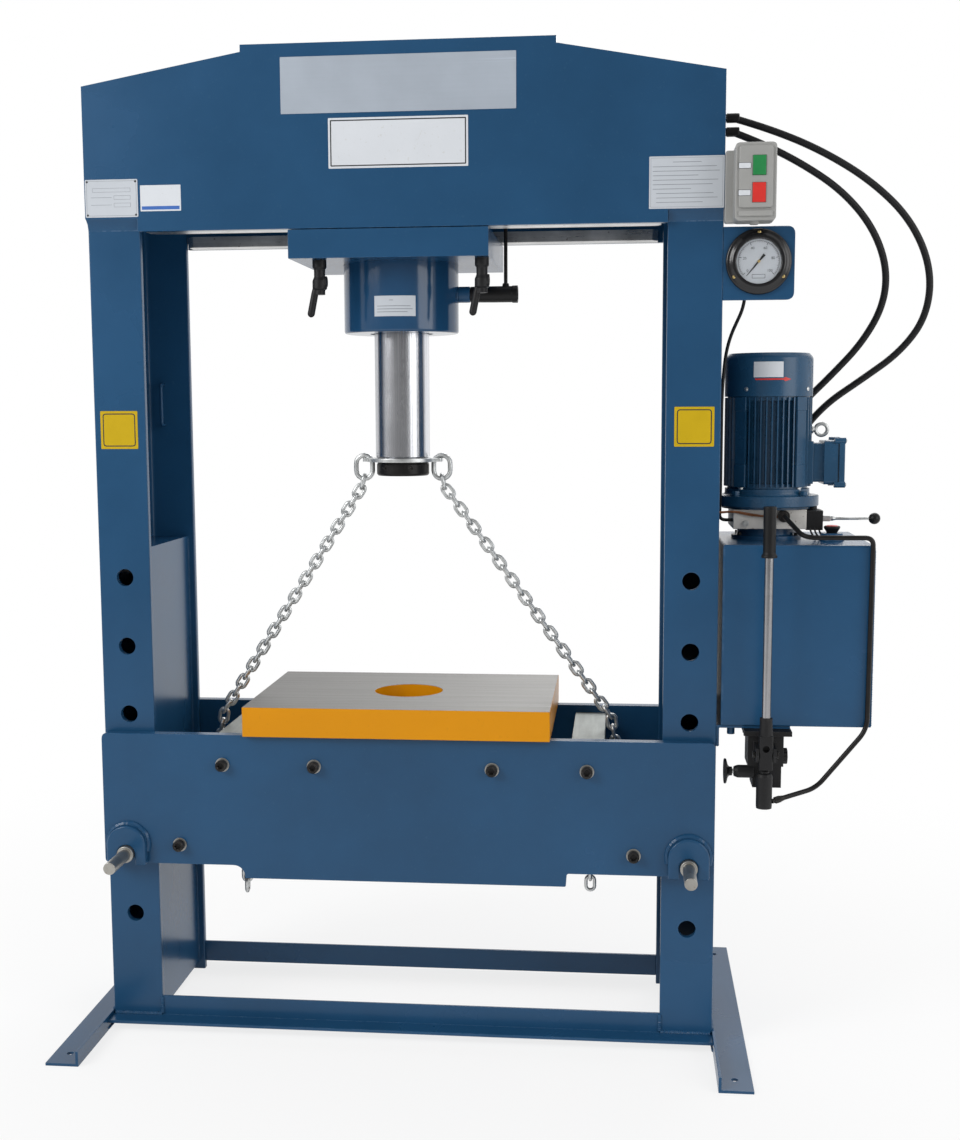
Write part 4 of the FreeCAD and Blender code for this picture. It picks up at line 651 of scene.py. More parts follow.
beads = []
for side in (-1, 1):
    x = side * 650
    beads.append(bead([(x, -172, 32), (x, 172, 32)], 4.0, seed=2))
    for y, out in ((-175, -1), (175, 1)):
        beads.append(bead([(side * 541, y + out * 0.5, 25), (side * 648, y + out * 0.5, 25)], 4.5, seed=3))
        beads.append(bead([(side * 540, y, 28), (side * 540, y, 66)], 4.0, seed=4))
        beads.append(bead([(x, y + out * 2, 4.4), (x, y + out * 40, 4.4)], 2.8, seed=5))
    beads.append(bead([(side * 638, -156, 1049), (side * 638, 156, 1049)], 3.5, seed=6))
    for y, seed in ((-158, 7), (158, 8)):
        beads.append(bead([(side * 554, y, 20), (side * 554, y, 1046)], 2.5, seed=seed))
beads.append(bead([(653, -165, 646), (653, 165, 646)], 3.5, seed=9))
piece("frameWelds", beads, "bluePaint")
print("welded frame made")

# Bed: both plates have a half-round slot over each pin and a deeper middle; a saddle strengthens each slot.
bed = dict(halfWidth=648, top=657, low=374, deep=346, inside=180, outside=205, pinX=595, pinZ=399, slot=18.1,
           corner=13, edge=1.6)
saddle = dict(half=42.5, top=459, out=225, edge=5, weld=6.5)


# Half circle over a pin, from left to right.
def slotOver(x):
    return arc(x, bed["pinZ"], bed["slot"], 180, 0)


# Bed plate: one outline from slot to slot, carried from the plate's inner face to its outer one.
def bedPlate(side):
    b = bed
    w = b["halfWidth"]
    low = b["low"]
    slotIn = b["pinX"] - b["slot"]
    slotOut = b["pinX"] + b["slot"]
    corners = [
        [(-w, low), (-slotOut, low)], slotOver(-b["pinX"]),
        [(-slotIn, low), (-356, low), (-342, low - 14), (-342, b["deep"]), (342, b["deep"]), (344, low),
         (slotIn, low)],
        slotOver(b["pinX"]), [(slotOut, low), (w, low), (w, b["top"]), (-w, b["top"])]]
    arcs = [0] * 24
    easing = [9, 0, *arcs, 0, 12, 8, 3, 3, 5, 0, *arcs, 0, 9, b["corner"], b["corner"]]
    outline = eased(np.vstack(corners), easing, 6, closed=True)
    plate = prism(outline, *sorted((side * b["inside"], side * b["outside"])), "y")
    return rounded(plate, b["edge"], angle=50)


piece("bedFrontPlate", [bedPlate(-1)], "bluePaint", "bed")
piece("bedRearPlate", [bedPlate(1)], "bluePaint", "bed")


# Saddle: a lug with a round top over a pin's slot, and the weld bead round it.
def makeSaddle(x, side):
    half = saddle["half"]
    rim = saddle["top"] - half
    low = bed["low"]
    outline = np.vstack([[(x - half, low), (x - bed["slot"], low)], slotOver(x),
                         [(x + bed["slot"], low), (x + half, low)], arc(x, rim, half, 0, 180, 40)])
    lug = prism(outline, *sorted((side * bed["outside"], side * saddle["out"])), "y")
    seam = upright(arc(x, rim, half + 1, -22, 202, 60), side * (bed["outside"] + 1.5))
    return [rounded(lug, saddle["edge"], 4, angle=50), bead(seam, saddle["weld"], 9, 11, 0.03)]


lugs = [makeSaddle(x, side) for side in (-1, 1) for x in (-bed["pinX"], bed["pinX"])]
piece("pinSaddles", sum(lugs, []), "bluePaint", "bed", "saddles")
copyPieces("bed", bedSpacers=("bed_spacers", "sawnSteel", 2.0), chainHooks=("chain_hooks", "zinc", 0.8))

capScrew = dict(head=12, tall=15, washer=15, washerThick=3, socket=6, socketDeep=8)


# Cap screw standing out along y: its head's rings are round outside and six-sided in the socket.
def capScrewAt(x, y, z, out):
    c = capScrew
    base = c["washerThick"]
    top = base + c["tall"]
    profile = [(0, base), (c["head"] - 0.6, base), (c["head"], base + 0.8), (c["head"], top - 2),
               (c["head"] - 1.6, top), (c["socket"] + 1.6, top), (c["socket"] + 0.2, top - 1.2),
               (c["socket"], top - c["socketDeep"]), (0, top - c["socketDeep"] - 1.5)]
    flat = np.array([0, 0, 0, 0, 0, 1, 1])[:, None]

    def hexagon(r, a):
        return np.where(flat, r / np.cos(np.mod(a, np.pi / 3) - np.pi / 6), r)

    ring = [(6, 0), (c["washer"], 0), (c["washer"], base - 0.1), (6, base - 0.1)]
    ring = eased(ring, 0.6, 3, closed=True) * (1, out)
    return [turned(np.array(profile) * (1, out), (x, y, z), "y", 48, 0, hexagon),
            turned(ring, (x, y, z), "y", 48, 1)]


screws = []
for side in (-1, 1):
    for x, z in ((-385, 593), (-188, 593), (188, 593), (385, 593), (-482, 417), (482, 417)):
        screws += capScrewAt(x, side * bed["outside"], z, side)
piece("bedScrews", screws, ["blackOxide", "bareSteel"], "bed")

# The bolster plate is painted all over but for its ground top.
bolster = dict(x=-14, halfWide=322.2, halfDeep=219.2, ground=719.2)
points, faces, _ = rounded(copyOf("bolster_plate"), 1.6, 3)
middle = np.array([points[f].mean(0) for f in faces])
ground = ((middle[:, 2] > bolster["ground"]) & (np.abs(middle[:, 0] - bolster["x"]) < bolster["halfWide"])
          & (np.abs(middle[:, 1]) < bolster["halfDeep"]))
piece("bolsterPlate", [(points, faces, ground.astype(int).tolist())], ["yellowPaint", "groundSteel"], "bed")

pin = dict(body=18, stub=13, start=-332, step=-234, end=234)
profile = [(0, pin["start"]), (pin["stub"], pin["start"]), (pin["stub"], pin["step"]),
           (pin["body"], pin["step"]), (pin["body"], pin["end"]), (0, pin["end"])]
for name, x in (("leftPin", -bed["pinX"]), ("rightPin", bed["pinX"])):
    bar = lathed(profile, [0, 1.8, 0.8, 2.2, 3.0, 0], 4, (x, 0, bed["pinZ"]), "y", 56)
    piece(name, [bar], "bareSteel", cadName(name))
print("bed made")

# Carriage with the cylinder, its handle and clamps, and the wheelsets that it hangs from.
cylinder = dict(x=-22, radius=123, low=1500, top=1955, rod=59, handleZ=1582)
copyPieces("carriage", carriagePlate=("carriage_plate", "bluePaint", 1.6),
           rollerBrackets=("roller_brackets", "bluePaint", 1.0))
r = cylinder["radius"]
low = cylinder["low"]
top = cylinder["top"]
lip = cylinder["rod"] + 9
seal = cylinder["rod"] + 0.6
at = (cylinder["x"], 0, 0)
handleAt = (cylinder["x"], 0, cylinder["handleZ"])
barrel = turned([(0, low + 6), (lip, low + 6), (lip, low + 1),
                 *eased([(lip, low), (r, low), (r, top), (0, top)], [0, 6, 4, 0], 6)], at, "z", 96)
wiper = lathed([(seal, low + 1), (lip - 2, low + 1), (lip - 2, low + 5.6), (seal, low + 5.6)], 1, 4, at, "z",
               96, 1, closed=True)
boss = roundBar(18, r - 4, r + 1, [0, 0, 1, 0], 4, handleAt, "x", 40)
piece("cylinderBody", [barrel, wiper, boss], ["cylinderBlue", "blackPlastic"], "carriage")

bar = lathed([(0, 124), (17, 124), (17, 149), (9, 149), (9, 246), (0, 246)], [0, 1.5, 2.5, 1, 1, 0], 4,
             handleAt, "x", 40)
piece("shiftHandle", [bar], "bluePaint", "carriage")
outside = eased([(16.6, 150), (17.2, 200), (17.2, 238), (18.4, 240), (18.4, 251), (15, 251), (14, 247.5)],
                [1.5, 4, 1, 1, 1.2, 1, 1], 4)
grip = turned([(0, 246.2), (9.2, 246.2), (9.2, 150.5), *outside, (0, 247.5)], handleAt, "x", 48)
lug = lathed([(0, 1596), (8, 1596), (6.5, 1605), (0, 1605)], 1.5, 4, (203, 0, 0), "z", 24)
piece("shiftGrip", [grip, lug], "blackPlastic", "carriage")
stay = eased([(203, 0, 1600.2), (203, 0, 1736), (101.1, 0, 1736)], 14, 8)
piece("shiftStay", [swept(stay, 4.0, 16)], "blackOxide", "carriage")

wheel = dict(radius=25, wide=28, inner=136, axle=8, z=1753.3)


# Wheelset: a round axle with a roller's profile turned round each end.
def makeWheelset(name, x):
    r = wheel["radius"]
    hole = wheel["axle"] + 0.3
    outer = wheel["inner"] + wheel["wide"]
    at = (x, 0, wheel["z"])
    shells = [roundBar(wheel["axle"], -outer - 3, outer + 3, 1.2, 3, at, "y", 32)]
    for side in (-1, 1):
        a = side * wheel["inner"]
        b = side * outer
        rim = [(hole, a), (r - 4, a), (r - 4, a + side * 1.5), (r, a + side * 2), (r, b), (r - 5, b),
               (r - 5, b - side * 2), (hole, b - side * 2)]
        shells.append(lathed(rim, 1, 3, at, "y", 56, closed=True))
    piece(name, shells, "bareSteel", cadName(name))


makeWheelset("leftWheelset", -182)
makeWheelset("rightWheelset", 138)

clamp = dict(y=-150, top=1644.2, hub=-44)


# Clamp: a turned shank and hub, and a lever swept along a bent path from 6 mm thin to a rounded end.
def makeClamp(name, x):
    at = np.array([x, clamp["y"], clamp["top"]])
    shank = lathed([(14.5, 0), (14.5, -15), (11.5, -19), (11.5, -34), (15, -42), (15, -58), (11, -61),
                    (11, -70)], 1.4, 4, at, "z", 40, poles=(0, -70))
    hub = lathed([(0, 8), (11.5, 8), (11.5, 15.4), (5, 15.4), (4.4, 13.8), (0, 13.8)],
                 [0, 1, 1.4, 0.8, 0.5, 0], 4, at + (0, 0, clamp["hub"]), "x", 36)
    path = eased([(-6, 0, -46), (-9, 0, -60), (-19, 0, -109)], 8, 6)
    radii = np.append(np.linspace(6.0, 7.6, len(path)), [6.6, 4.4, 1.2])
    path = np.vstack([path, [(-19.6, 0, -112), (-20, 0, -114.4), (-20.3, 0, -115.8)]])
    piece(name, [shank, hub, swept(path + at, radii, 20)], "blackCast", cadName(name))


makeClamp("leftClamp", -170)
makeClamp("rightClamp", 166)

rod = turned([(0, 1234.2), (56, 1234.2), (59, 1237), (59, 1640), (0, 1640)], at, "z", 96)
piece("ramRod", [rod], "chrome", "ram")

# The chain ring is a disc with two lugs, one for each chain.
ring = dict(radius=78, lugOut=87, lugHalf=17, low=1226, top=1234, holeAt=70, hole=8)
x = cylinder["x"]
half = ring["lugHalf"]
tip = math.degrees(math.asin(half / ring["radius"]))
corners = ((ring["radius"] - 1, -half), (ring["lugOut"], -half), (ring["lugOut"], half),
           (ring["radius"] - 1, half))
outline = []
for side, start in ((-1, 0), (1, 180)):
    outline += [arc(x, 0, ring["radius"], start + tip, start + 180 - tip, 48),
                eased([(x + side * u, side * v) for u, v in corners], 9, 7)]
drills = [prism(circle(x + side * ring["holeAt"], 0, ring["hole"], 32), 1200, 1260) for side in (-1, 1)]
plate = less(prism(np.vstack(outline), ring["low"], ring["top"]), drills)
piece("chainRing", [rounded(plate, 0.9, angle=50)], "zinc", "ram")

nose = dict(low=1196, radius=57, screwX=(-52, 2), screwZ=1213)
shells = [lathed([(48, 1196), (54, 1196), (57, 1200), (57, 1221), (55.5, 1222), (55.5, 1225.8)], 1, 3, at,
                 "z", 96, poles=(nose["low"], 1225.8))]
for screwX in nose["screwX"]:
    y = -math.sqrt(nose["radius"] ** 2 - (screwX - x) ** 2)
    shells.append(lathed([(2.6, 0), (5.2, 0), (5.2, -3.5), (2.6, -3.5)], 0.7, 3,
                         (screwX, y + 2, nose["screwZ"]), "y", 24, closed=True))
piece("pressNose", shells, "blackOxide", "ram")
print("carriage and ram made")
# Lifting chains, each made in three stretches split by height.

# Lifting chains. Each is blended in three stretches, because the two bodies of a blend share one joint.
chain = dict(wire=8, wide=27, pitch=24, endWire=11, endWide=47, endLong=62, endX=85.3, endZ=1214.1,
             hookX=389, hookZ=470.7, cornerX=436, cornerZ=650, tailZ={-1: 262, 1: 286},
             hookTilts=(20, 36, 36, 36, 24),
             bands=(("Upper", "carriage", "ram", 1040, 1180), ("Middle", "frame", "carriage", 830, 1040),
                    ("Lower", "bed", "frame", 690, 830)))


# Link of round wire: two half circles joined by straight sides.
def chainLink(width, length, wire):
    r = (width - wire) / 2
    half = (length - wire) / 2 - r
    outline = np.vstack([arc(0, half, r, 0, 180, 9), arc(0, -half, r, 180, 360, 9)])
    return swept(upright(outline, 0), wire / 2, 10, closed=True)


# Copy of a link with its length along a direction, its flat side turned by an angle about it.
def placed(link, at, along, roll):
    w = np.array(along, float)
    w /= np.linalg.norm(w)
    u = np.cross((0, 1, 0), w)
    v = np.cross(w, u)
    a = math.radians(roll)
    side = math.cos(a) * u + math.sin(a) * v
    return link[0] @ np.array([side, np.cross(w, side), w]) + at, link[1], link[2]


# Middles of equal steps from one point to another, each with the direction of the whole.
def between(p, q, count):
    return [(p + (q - p) * ((k + 0.5) / count), q - p) for k in range(count)]


# Places and directions of the links: down from the end link, straight to the bed's edge, straight on to the
# hook, round it, and down as a tail. The upper straight row closes up a little, so that both straight rows
# together have an even count of links; of two ways to get one, the wider spacing is taken.
def chainPlaces(side):
    c = chain
    pitch = c["pitch"]
    top = np.array([cylinder["x"] + side * c["endX"], 0, c["endZ"]])
    start = top - (0, 0, 20)
    held = np.array([side * c["hookX"], 0, c["hookZ"]])
    hooked = []
    low = held
    for tilt in c["hookTilts"]:
        a = math.radians(tilt)
        high = low + np.array([side * math.sin(a), 0, math.cos(a)]) * pitch
        hooked = between(high, low, 1) + hooked
        low = high
    away = np.array([side * c["cornerX"], 0, c["cornerZ"]]) - low
    away /= np.linalg.norm(away)
    first = start + np.array([side * 0.26, 0, -0.966]) * pitch
    choices = []
    for count in (3, 4):
        corner = low + away * count * pitch
        row = math.ceil(np.linalg.norm(corner - first) / pitch)
        row += (row + count) % 2
        choices.append((np.linalg.norm(corner - first) / row, row, count, tuple(corner)))
    _, row, count, corner = max(choices)
    corner = np.array(corner)
    drop = int((held[2] - c["tailZ"][side]) / pitch + 0.5)
    return top, (between(start, first, 1) + between(first, corner, row) + between(corner, low, count)
                 + hooked + between(held, held - (0, 0, pitch * drop), drop))


# Chain: its links, each a quarter turn from the last, shared out by height among three stretches.
def makeChain(name, side):
    c = chain
    small = chainLink(c["wide"], c["pitch"] + 2 * c["wire"], c["wire"])
    top, places = chainPlaces(side)
    stretches = [[placed(chainLink(c["endWide"], c["endLong"], c["endWire"]), top, (0, 0, 1), 0)], [], []]
    for i, (at, way) in enumerate(places):
        passed = sum(at[2] <= band[3] for band in c["bands"][:2])
        stretches[passed].append(placed(small, at, way, 90 if i % 2 == 0 else 0))
    for shells, (part, a, b, low, high) in zip(stretches, c["bands"]):
        thing = piece(name + part, shells, "zinc", None, cadName(name) if part == "Lower" else None)
        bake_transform(thing)


makeChain("leftChain", -1)
makeChain("rightChain", 1)
print("chains made")

# Power unit: tank, coupling, valve block, and the motor that stands on them.
motor = dict(x=762, y=20, blockLow=1085, blockTop=1126, bodyLow=1168, bodyTop=1362, core=79, fin=92, cowl=92,
             cowlTop=1452, finPitch=11.5, finHalf=1.3, finFoot=2.2, finsEachWay=4)
tank = dict(x0=659, x1=962, halfDeep=176, capX=890, capY=-60)
motorAt = (motor["x"], motor["y"], 0)


# Hexagon-headed bolt standing along an axis, out being the way its head points.
def boltAt(at, axis, across, tall, out=1, finish=0, washer=True):
    r = across / 2 / math.cos(math.pi / 6)
    k = "xyz".index(axis)
    flat = [at[i] for i in range(3) if i != k]
    base = at[k]
    lo, hi = sorted((base + out * (1.2 if washer else 0), base + out * tall))
    shells = [rounded(prism(circle(*flat, r, 6, 0.26), lo, hi, axis, finish), tall * 0.12, 2, 40)]
    if washer:
        centre = [0 if i == k else at[i] for i in range(3)]
        shells.append(roundBar(r * 1.25, base, base + out * 1.1, 0.3, 3, centre, axis, 28, finish))
    return shells


# Bolts in a ring round the motor's axis.
def boltRing(radius, degrees, z, *bolt):
    return sum((boltAt((*polar(*motorAt[:2], radius, d), z), "z", *bolt) for d in degrees), [])


shells = [rounded(copyOf("tank"), 3.0, 3, angle=40),
          lathed([(0, 1058), (26, 1062), (26, 1064), (22.8, 1067), (22.8, 1077.9), (0, 1077.9)],
                 [0, 1, 1, 1, 1.5, 0], 4, (tank["capX"], tank["capY"], 0), "z", 40)]
for x in (tank["x0"] + 1.5, tank["x1"] - 1.5):
    for y in (-tank["halfDeep"] + 1.5, tank["halfDeep"] - 1.5):
        shells.append(bead([(x, y, 692), (x, y, 1054)], 2.0, 5.0, seed=20))
piece("oilTank", shells, "bluePaint", node="tank")
piece("drainPlug", boltAt((900, 60, 689), "z", 19, 7, -1), "zinc")
piece("shelfBolts", boltAt((681, -152, 689), "z", 13, 8) + boltAt((681, -152, 683), "z", 13, 9, -1), "zinc")

at = (tank["capX"], tank["capY"], 1078.4)
bell = lathed([(11, 0), (12, 2.5), (16.6, 9.5), (17, 12.6), (15, 14.4), (13.6, 14.4), (13.6, 12.8)], 0.9, 4,
              at, "z", 48, poles=(0, 12.8))
button = lathed([(13.2, 12.9), (13.0, 14.4), (9.5, 15.7)], 1.2, 5, at, "z", 48, 1, poles=(12.9, 16.0))
piece("fillerCap", [bell, button], ["blackPlastic", "redPlastic"], "filler_cap")

neck = lathed([(74, 1062), (74, 1069), (62, 1069), (62, 1084.9)], [0.8, 1.5, 3, 0.8], 4, motorAt, "z", 72,
              poles=(1062, 1084.9))
bolts = boltRing(68.5, range(30, 360, 60), 1069, 8, 6, 1, 1, False)
piece("couplingHousing", [neck] + bolts, ["bluePaint", "blackOxide"])

low = motor["blockLow"]
top = motor["blockTop"]
plug = turned([(0, -56), *eased([(11.5, -56), (11.5, -58), (9.5, -58.6)], 0.5, 3), (9.5, -59.4),
               (4.5, -59.4), (4.2, -57.2), (0, -57.2)], (761, 0, 1103), "y", 40)
shells = [rounded(prism(rect(686, 838, -56, 96), low, top), 1.8, 3), plug,
          rounded(prism(rect(748, 749.2, -56.6, -50), low + 0.5, top - 0.5), 0.3)]
for place, across, tall, out in (((712, -56, 1097), 10, 6, -1), ((706, 96, 1096), 13, 8, 1),
                                 ((820, 96, 1116), 10, 7, 1)):
    shells += boltAt(place, "y", across, tall, out, 1)
piece("valveBlock", shells, ["castAluminium", "zinc"])
wires = ((1.7, [(656, -60, 1119), (686, -61, 1122), (722, -62, 1114), (752, -64, 1112), (780, -63, 1113)]),
         (1.5, [(656, -63, 1121.5), (690, -63, 1123.5), (730, -66, 1116), (780, -65, 1110)]))
piece("copperLines", [swept(eased(points, 14, 8), radius, 10) for radius, points in wires], "copper")

shells = [lathed([(95, 1126.1), (95, 1131), (108.5, 1131), (108.5, 1154), (93, 1154), (89, 1158),
                  (89, 1168)], [0.5, 1, 2.5, 2.5, 3, 3, 0.5], 5, motorAt, "z", 96, poles=(1126.1, 1168))]
shells += boltRing(99.5, range(45, 360, 90), 1153.5, 15, 11)
for degrees in (90, 180, 270):
    shells.append(spun(rounded(prism(rect(-13, 13, 94, 108), 1133, 1152), 1.5), degrees, motorAt))
piece("motorFlange", shells, "motorBlue")


# Motor frame section: on each of four sides parallel fins run from a core circle to a rim circle, and a pad
# stands at each corner.
def motorSection():
    m = motor
    side = []
    for k in range(-m["finsEachWay"], m["finsEachWay"] + 1):
        for du, r in ((-m["finFoot"], m["core"]), (-m["finHalf"], m["fin"] - 0.4),
                      (m["finHalf"], m["fin"] - 0.4), (m["finFoot"], m["core"])):
            u = k * m["finPitch"] + du
            side.append((u, math.sqrt(r * r - u * u)))
    end = math.sqrt(m["core"] ** 2 - 50 ** 2)
    quarter = np.array(side + [(50, end), (50, 70), (54, 73), (73, 54), (70, 50), (end, 50)])
    loop = []
    for _ in range(4):
        loop.append(quarter)
        quarter = quarter[:, ::-1] * (1, -1)
    return np.vstack(loop)


low = motor["bodyLow"]
top = motor["bodyTop"]
shells = [prism(motorSection() + motorAt[:2], low + 5, top - 2)]
for lo, hi, radius in ((low - 0.5, low + 12, 84), (top - 9, top + 4, 86)):
    shells.append(roundBar(radius, lo, hi, 2, 4, motorAt, "z", 72))
for degrees in range(45, 360, 90):
    for lo, hi in ((low + 4, low + 52), (top - 30, top - 1)):
        shells.append(spun(rounded(prism(rect(72, 91, -15, 15), lo, hi), 2.0, 3), degrees, motorAt))
shells += boltRing(84, range(45, 360, 90), low + 4, 10, 7, -1, 1)
x, y, _ = motorAt
shells += [rounded(prism(rect(x + 60, x + 92, y - 40, y + 40), 1178, 1268), 2, 3),
           swept(upright(arc(874, 1292, 12.4, 0, 350, 36), y), 3.9, 14, 1, closed=True),
           lathed([(0, 76), (8.5, 76), (8.5, 94.5), (5, 96), (5, 101), (0, 101)], 1, 3, (x, y, 1292), "x",
                  28, 1)]
piece("motorBody", shells, ["motorBlue", "zinc"])

# Fan cowl: grooves and spokes across its top make the grille.
r = motor["cowl"]
top = motor["cowlTop"]
profile = [(0, top - 6), (r - 10, top - 6), (r - 3, 1430),
           *eased([(r - 3, 1362), (r, 1362), (r, top - 9), (r - 8, top)], [0.6, 0.6, 5, 5], 6)]
for g in range(70, 21, -8):
    profile += [(g + 3, top), (g + 2.2, top - 2.5), (g - 0.2, top - 2.5), (g - 1, top)]
shells = [turned(profile + [(0, top)], motorAt, "z", 96)]
for degrees in range(0, 360, 45):
    shells.append(spun(prism(rect(12, 76, -1.6, 1.6), top - 3, top - 0.1), degrees, motorAt))
head = turned([(0, 0), (4.6, 0), (4.4, 1.6), (2.4, 2.8), (0, 3)], axis="x", sides=20, finish=1)
for degrees in (-125, -35, 55, 145):
    shells.append(spun(head, degrees, (*polar(x, y, r - 0.3, degrees), 1377)))
piece("fanCowl", shells, ["motorBlue", "zinc"])

shells = [rounded(prism(rect(y - 36, y + 36, 1182, 1264, 6), 853.5, 880, "x"), 1.5),
          rounded(prism(rect(y - 47, y + 47, 1177, 1269, 8), 875, 905, "x"), 1.8),
          rounded(prism(rect(y - 50, y + 50, 1174, 1272, 7), 906, 918, "x"), 2.2, 3),
          prism(rect(y - 48, y + 48, 1176, 1270, 7), 904.5, 906.5, "x", 1)]
for place in ((0, y + dy, z) for dy in (-46, 46) for z in (1177, 1269)):
    shells += [roundBar(6.5, 896, 919.5, 1.2, 4, place, "x", 24),
               turned([(0, 919), (4.2, 919), (4, 920.8), (2, 921.6), (0, 921.8)], place, "x", 20, 2)]
piece("terminalBox", shells, ["motorBlue", "blackPlastic", "zinc"])

shells = [rounded(copyOf("valve_body"), 1.2),
          lathed([(0, 1123), (10, 1123), (10, 1131), (7, 1133), (0, 1133)], 1, 3, (855, -8, 0), "z", 28)]
for dx in (0, 9, 18):
    clip = eased([(845 + dx, -53, 1088), (849 + dx, -54, 1076), (858 + dx, -52, 1064)], 4, 5)
    shells.append(swept(clip, 2.0, 10))
piece("valveBody", shells, "blackCast")
at = (866, -21, 1105.5)
x, y, z = at
fork = rounded(prism(rect(x - 6, x + 26, z - 6, z + 6, 4), y - 5.4, y + 5.4, "y"), 1.0)
fork = less(fork, [prism(circle(x, z, 2.7, 24), y - 9, y + 9, "y")])
stem = lathed([(0, 22), (5, 22), (5, 30), (3.2, 36), (3.0, 108), (0, 108)], [0, 1, 1, 2, 0, 0], 4, at, "x",
              24)
ball = turned([(0, 104), *arc(0, 116.5, 12.2, -90, 90, 15)[1:-1], (0, 128.6)], at, "x", 32, 1)
piece("valveLever", [fork, stem, ball], ["zinc", "blackPlastic"], "valve_lever")

# Rigid pressure pipe, bent from straight tube, with a banjo at its upper end and a nut at its lower one.
pipe = dict(radius=5, bends=[12, 26, 16, 24, 22],
            points=[(789, -65, 1113.5), (789, -90, 1113.5), (819, -184, 1078), (955, -184, 1078),
                    (952, -184, 687), (851, -195, 566), (760.4, -228, 545)])
banjo = lathed([(0, -56.2), (11, -56.2), (11, -60), (12.5, -60), (12.5, -78), (8, -78), (8, -84), (0, -84)],
               [0, 0.5, 0.5, 1.5, 1.5, 0.5, 1, 0], 4, (789, 0, 1113.5), "y", 40)
end = np.array(pipe["points"][-1], float)
way = np.array(pipe["points"][-2], float) - end
way /= np.linalg.norm(way)
tube = swept(eased(pipe["points"], [0] + pipe["bends"] + [0], 10), pipe["radius"], 18)
nut = swept([end + way * 6, end + way * 18], 7.2, 6)
collar = swept([end + way * 18, end + way * 25], [6.4, 5.3], 20)
piece("pressurePipe", [tube, banjo, nut, collar], "blackOxide")

# Hand pump with its release knob and its lever.
pump = dict(pivot=(745, -236, 643), knobY=-190, knobZ=597)
lever = dict(socketHalf=13.8, tube=9, gripLow=1042)
x, y, z = pump["pivot"]
shells = [
    rounded(copyOf("pump_body"), 2.4, 3, angle=40),
    lathed([(0, z - 111.8), (13, z - 111.8), (16.2, z - 109), (16.2, z - 70), (16.6, z - 60), (16.6, z - 46),
            (13.5, z - 40), (9.5, z - 39), (9.5, z - 34.6), (0, z - 34.6)],
           [0, 1, 2, 2, 2, 2, 2, 1, 1, 0], 4, (x - 1, y + 8, 0), "z", 40),
    lathed([(0, x - 60), (10, x - 60), (13.2, x - 52), (13.2, x - 20), (0, x - 20)], [0, 1, 2, 0, 0], 4,
           (0, pump["knobY"], pump["knobZ"]), "x", 32),
    rounded(prism(circle(-165, z - 18, 17.2, 6), x + 34, x + 50.5, "x"), 2.0, 3),
    roundBar(7.5, x - 26, x - 21, 0.8, 3, (0, y, z), "x", 28, 1),
    roundBar(7.5, x + 20, x + 26, 0.8, 3, (0, y, z), "x", 28, 1),
    *boltAt((x - 32, -160, 673), "z", 12, 8, -1), *boltAt((x + 46, -160, 673), "z", 12, 8, -1),
    *boltAt((x + 22, -196, 622), "y", 11, 9, -1, 0, False),
    roundBar(5, 530.9, 534, 0.6, 3, (x + 4, y + 8, 0), "z", 20, 1)]
piece("pumpBody", shells, ["blackCast", "blackOxide"])

at = (x - 80, pump["knobY"], pump["knobZ"])
disc = lathed([(8, 3), (21, 0.4), (25.2, 0.2), (26, 2), (25.4, 5), (14, 8), (9.5, 11), (9.0, 17)], 1.2, 4,
              at, "x", 56, poles=(3.5, 17))
piece("releaseKnob", [disc, roundBar(5, 15, 27.6, 0.4, 3, at, "x", 24, 1)], ["blackPlastic", "zinc"],
      "release_knob")

at = (x, y, 0)
half = lever["socketHalf"]
low = lever["gripLow"]
socket = rounded(prism(rect(x - half, x + half, y - half, y + half, 4), z - 30, z + 40), 2.0, 3, angle=40)
socket = less(socket, [prism(circle(x, z + 14, 7.2, 32), y - 20, y - 1, "y"),
                       prism(circle(y, z, 6.1, 32), x - 20, x + 20, "x")])
neck = lathed([(0, z + 36), (half, z + 36), (half, z + 44), (12.6, z + 60), (12.6, z + 76), (0, z + 76)],
              [0, 0.5, 3, 3, 1.5, 0], 4, at, "z", 40)
tube = roundBar(lever["tube"], z + 70, low + 12, 0.5, 3, at, "z", 40, 1)
outside = eased([(15.6, low + 0.2), (15.8, low + 4), (12.6, low + 9), (12.4, low + 48), (13, low + 102),
                 (0, low + 102)], [1.2, 1.5, 3, 8, 2.6, 0], 5)
grip = turned([(0, low + 8), (9.1, low + 8), (9.1, low + 0.2), *outside], at, "z", 48, 2)
piece("pumpLever", [socket, neck, tube, grip], ["blackCast", "tubeSteel", "blackPlastic"], "pump_lever")
print("power unit made")

# Switch box with two buttons, each beside a pale strip with a thin dark edge.
switch = dict(x0=665, x1=744, z0=1696, z1=1844, front=-262, back=-198, buttonX=710.5, buttonHalf=12.5,
              buttonTall=37, play=0.6,
              buttons={"stopButton": (1730, "redPlastic"), "startButton": (1781, "greenPlastic")})
x0 = switch["x0"]
x1 = switch["x1"]
z0 = switch["z0"]
z1 = switch["z1"]
front = switch["front"]
back = switch["back"]
middle = switch["buttonX"]
half = switch["buttonHalf"]
play = switch["play"]
cuts = []
strips = []
edging = []
for z, _ in switch["buttons"].values():
    top = z + switch["buttonTall"]
    cuts.append(prism(rect(middle - half - play, middle + half + play, z - play, top + play),
                      front - 3, front + 14, "y"))
    strip = prism(rect(middle - 39, middle - 16.5, z + 13, z + 23, 1.5), front - 0.5, front + 0.5, "y", 2)
    strips.append(rounded(strip, 0.2))
    edging.append(prism(rect(middle - 39.8, middle - 15.7, z + 12.2, z + 23.8, 2),
                        front - 0.25, front + 0.4, "y", 3))
case = rounded(prism(rect(x0, x1, z0, z1, 10, 7), front + 5, back, "y"), 3.5, 4, angle=50)
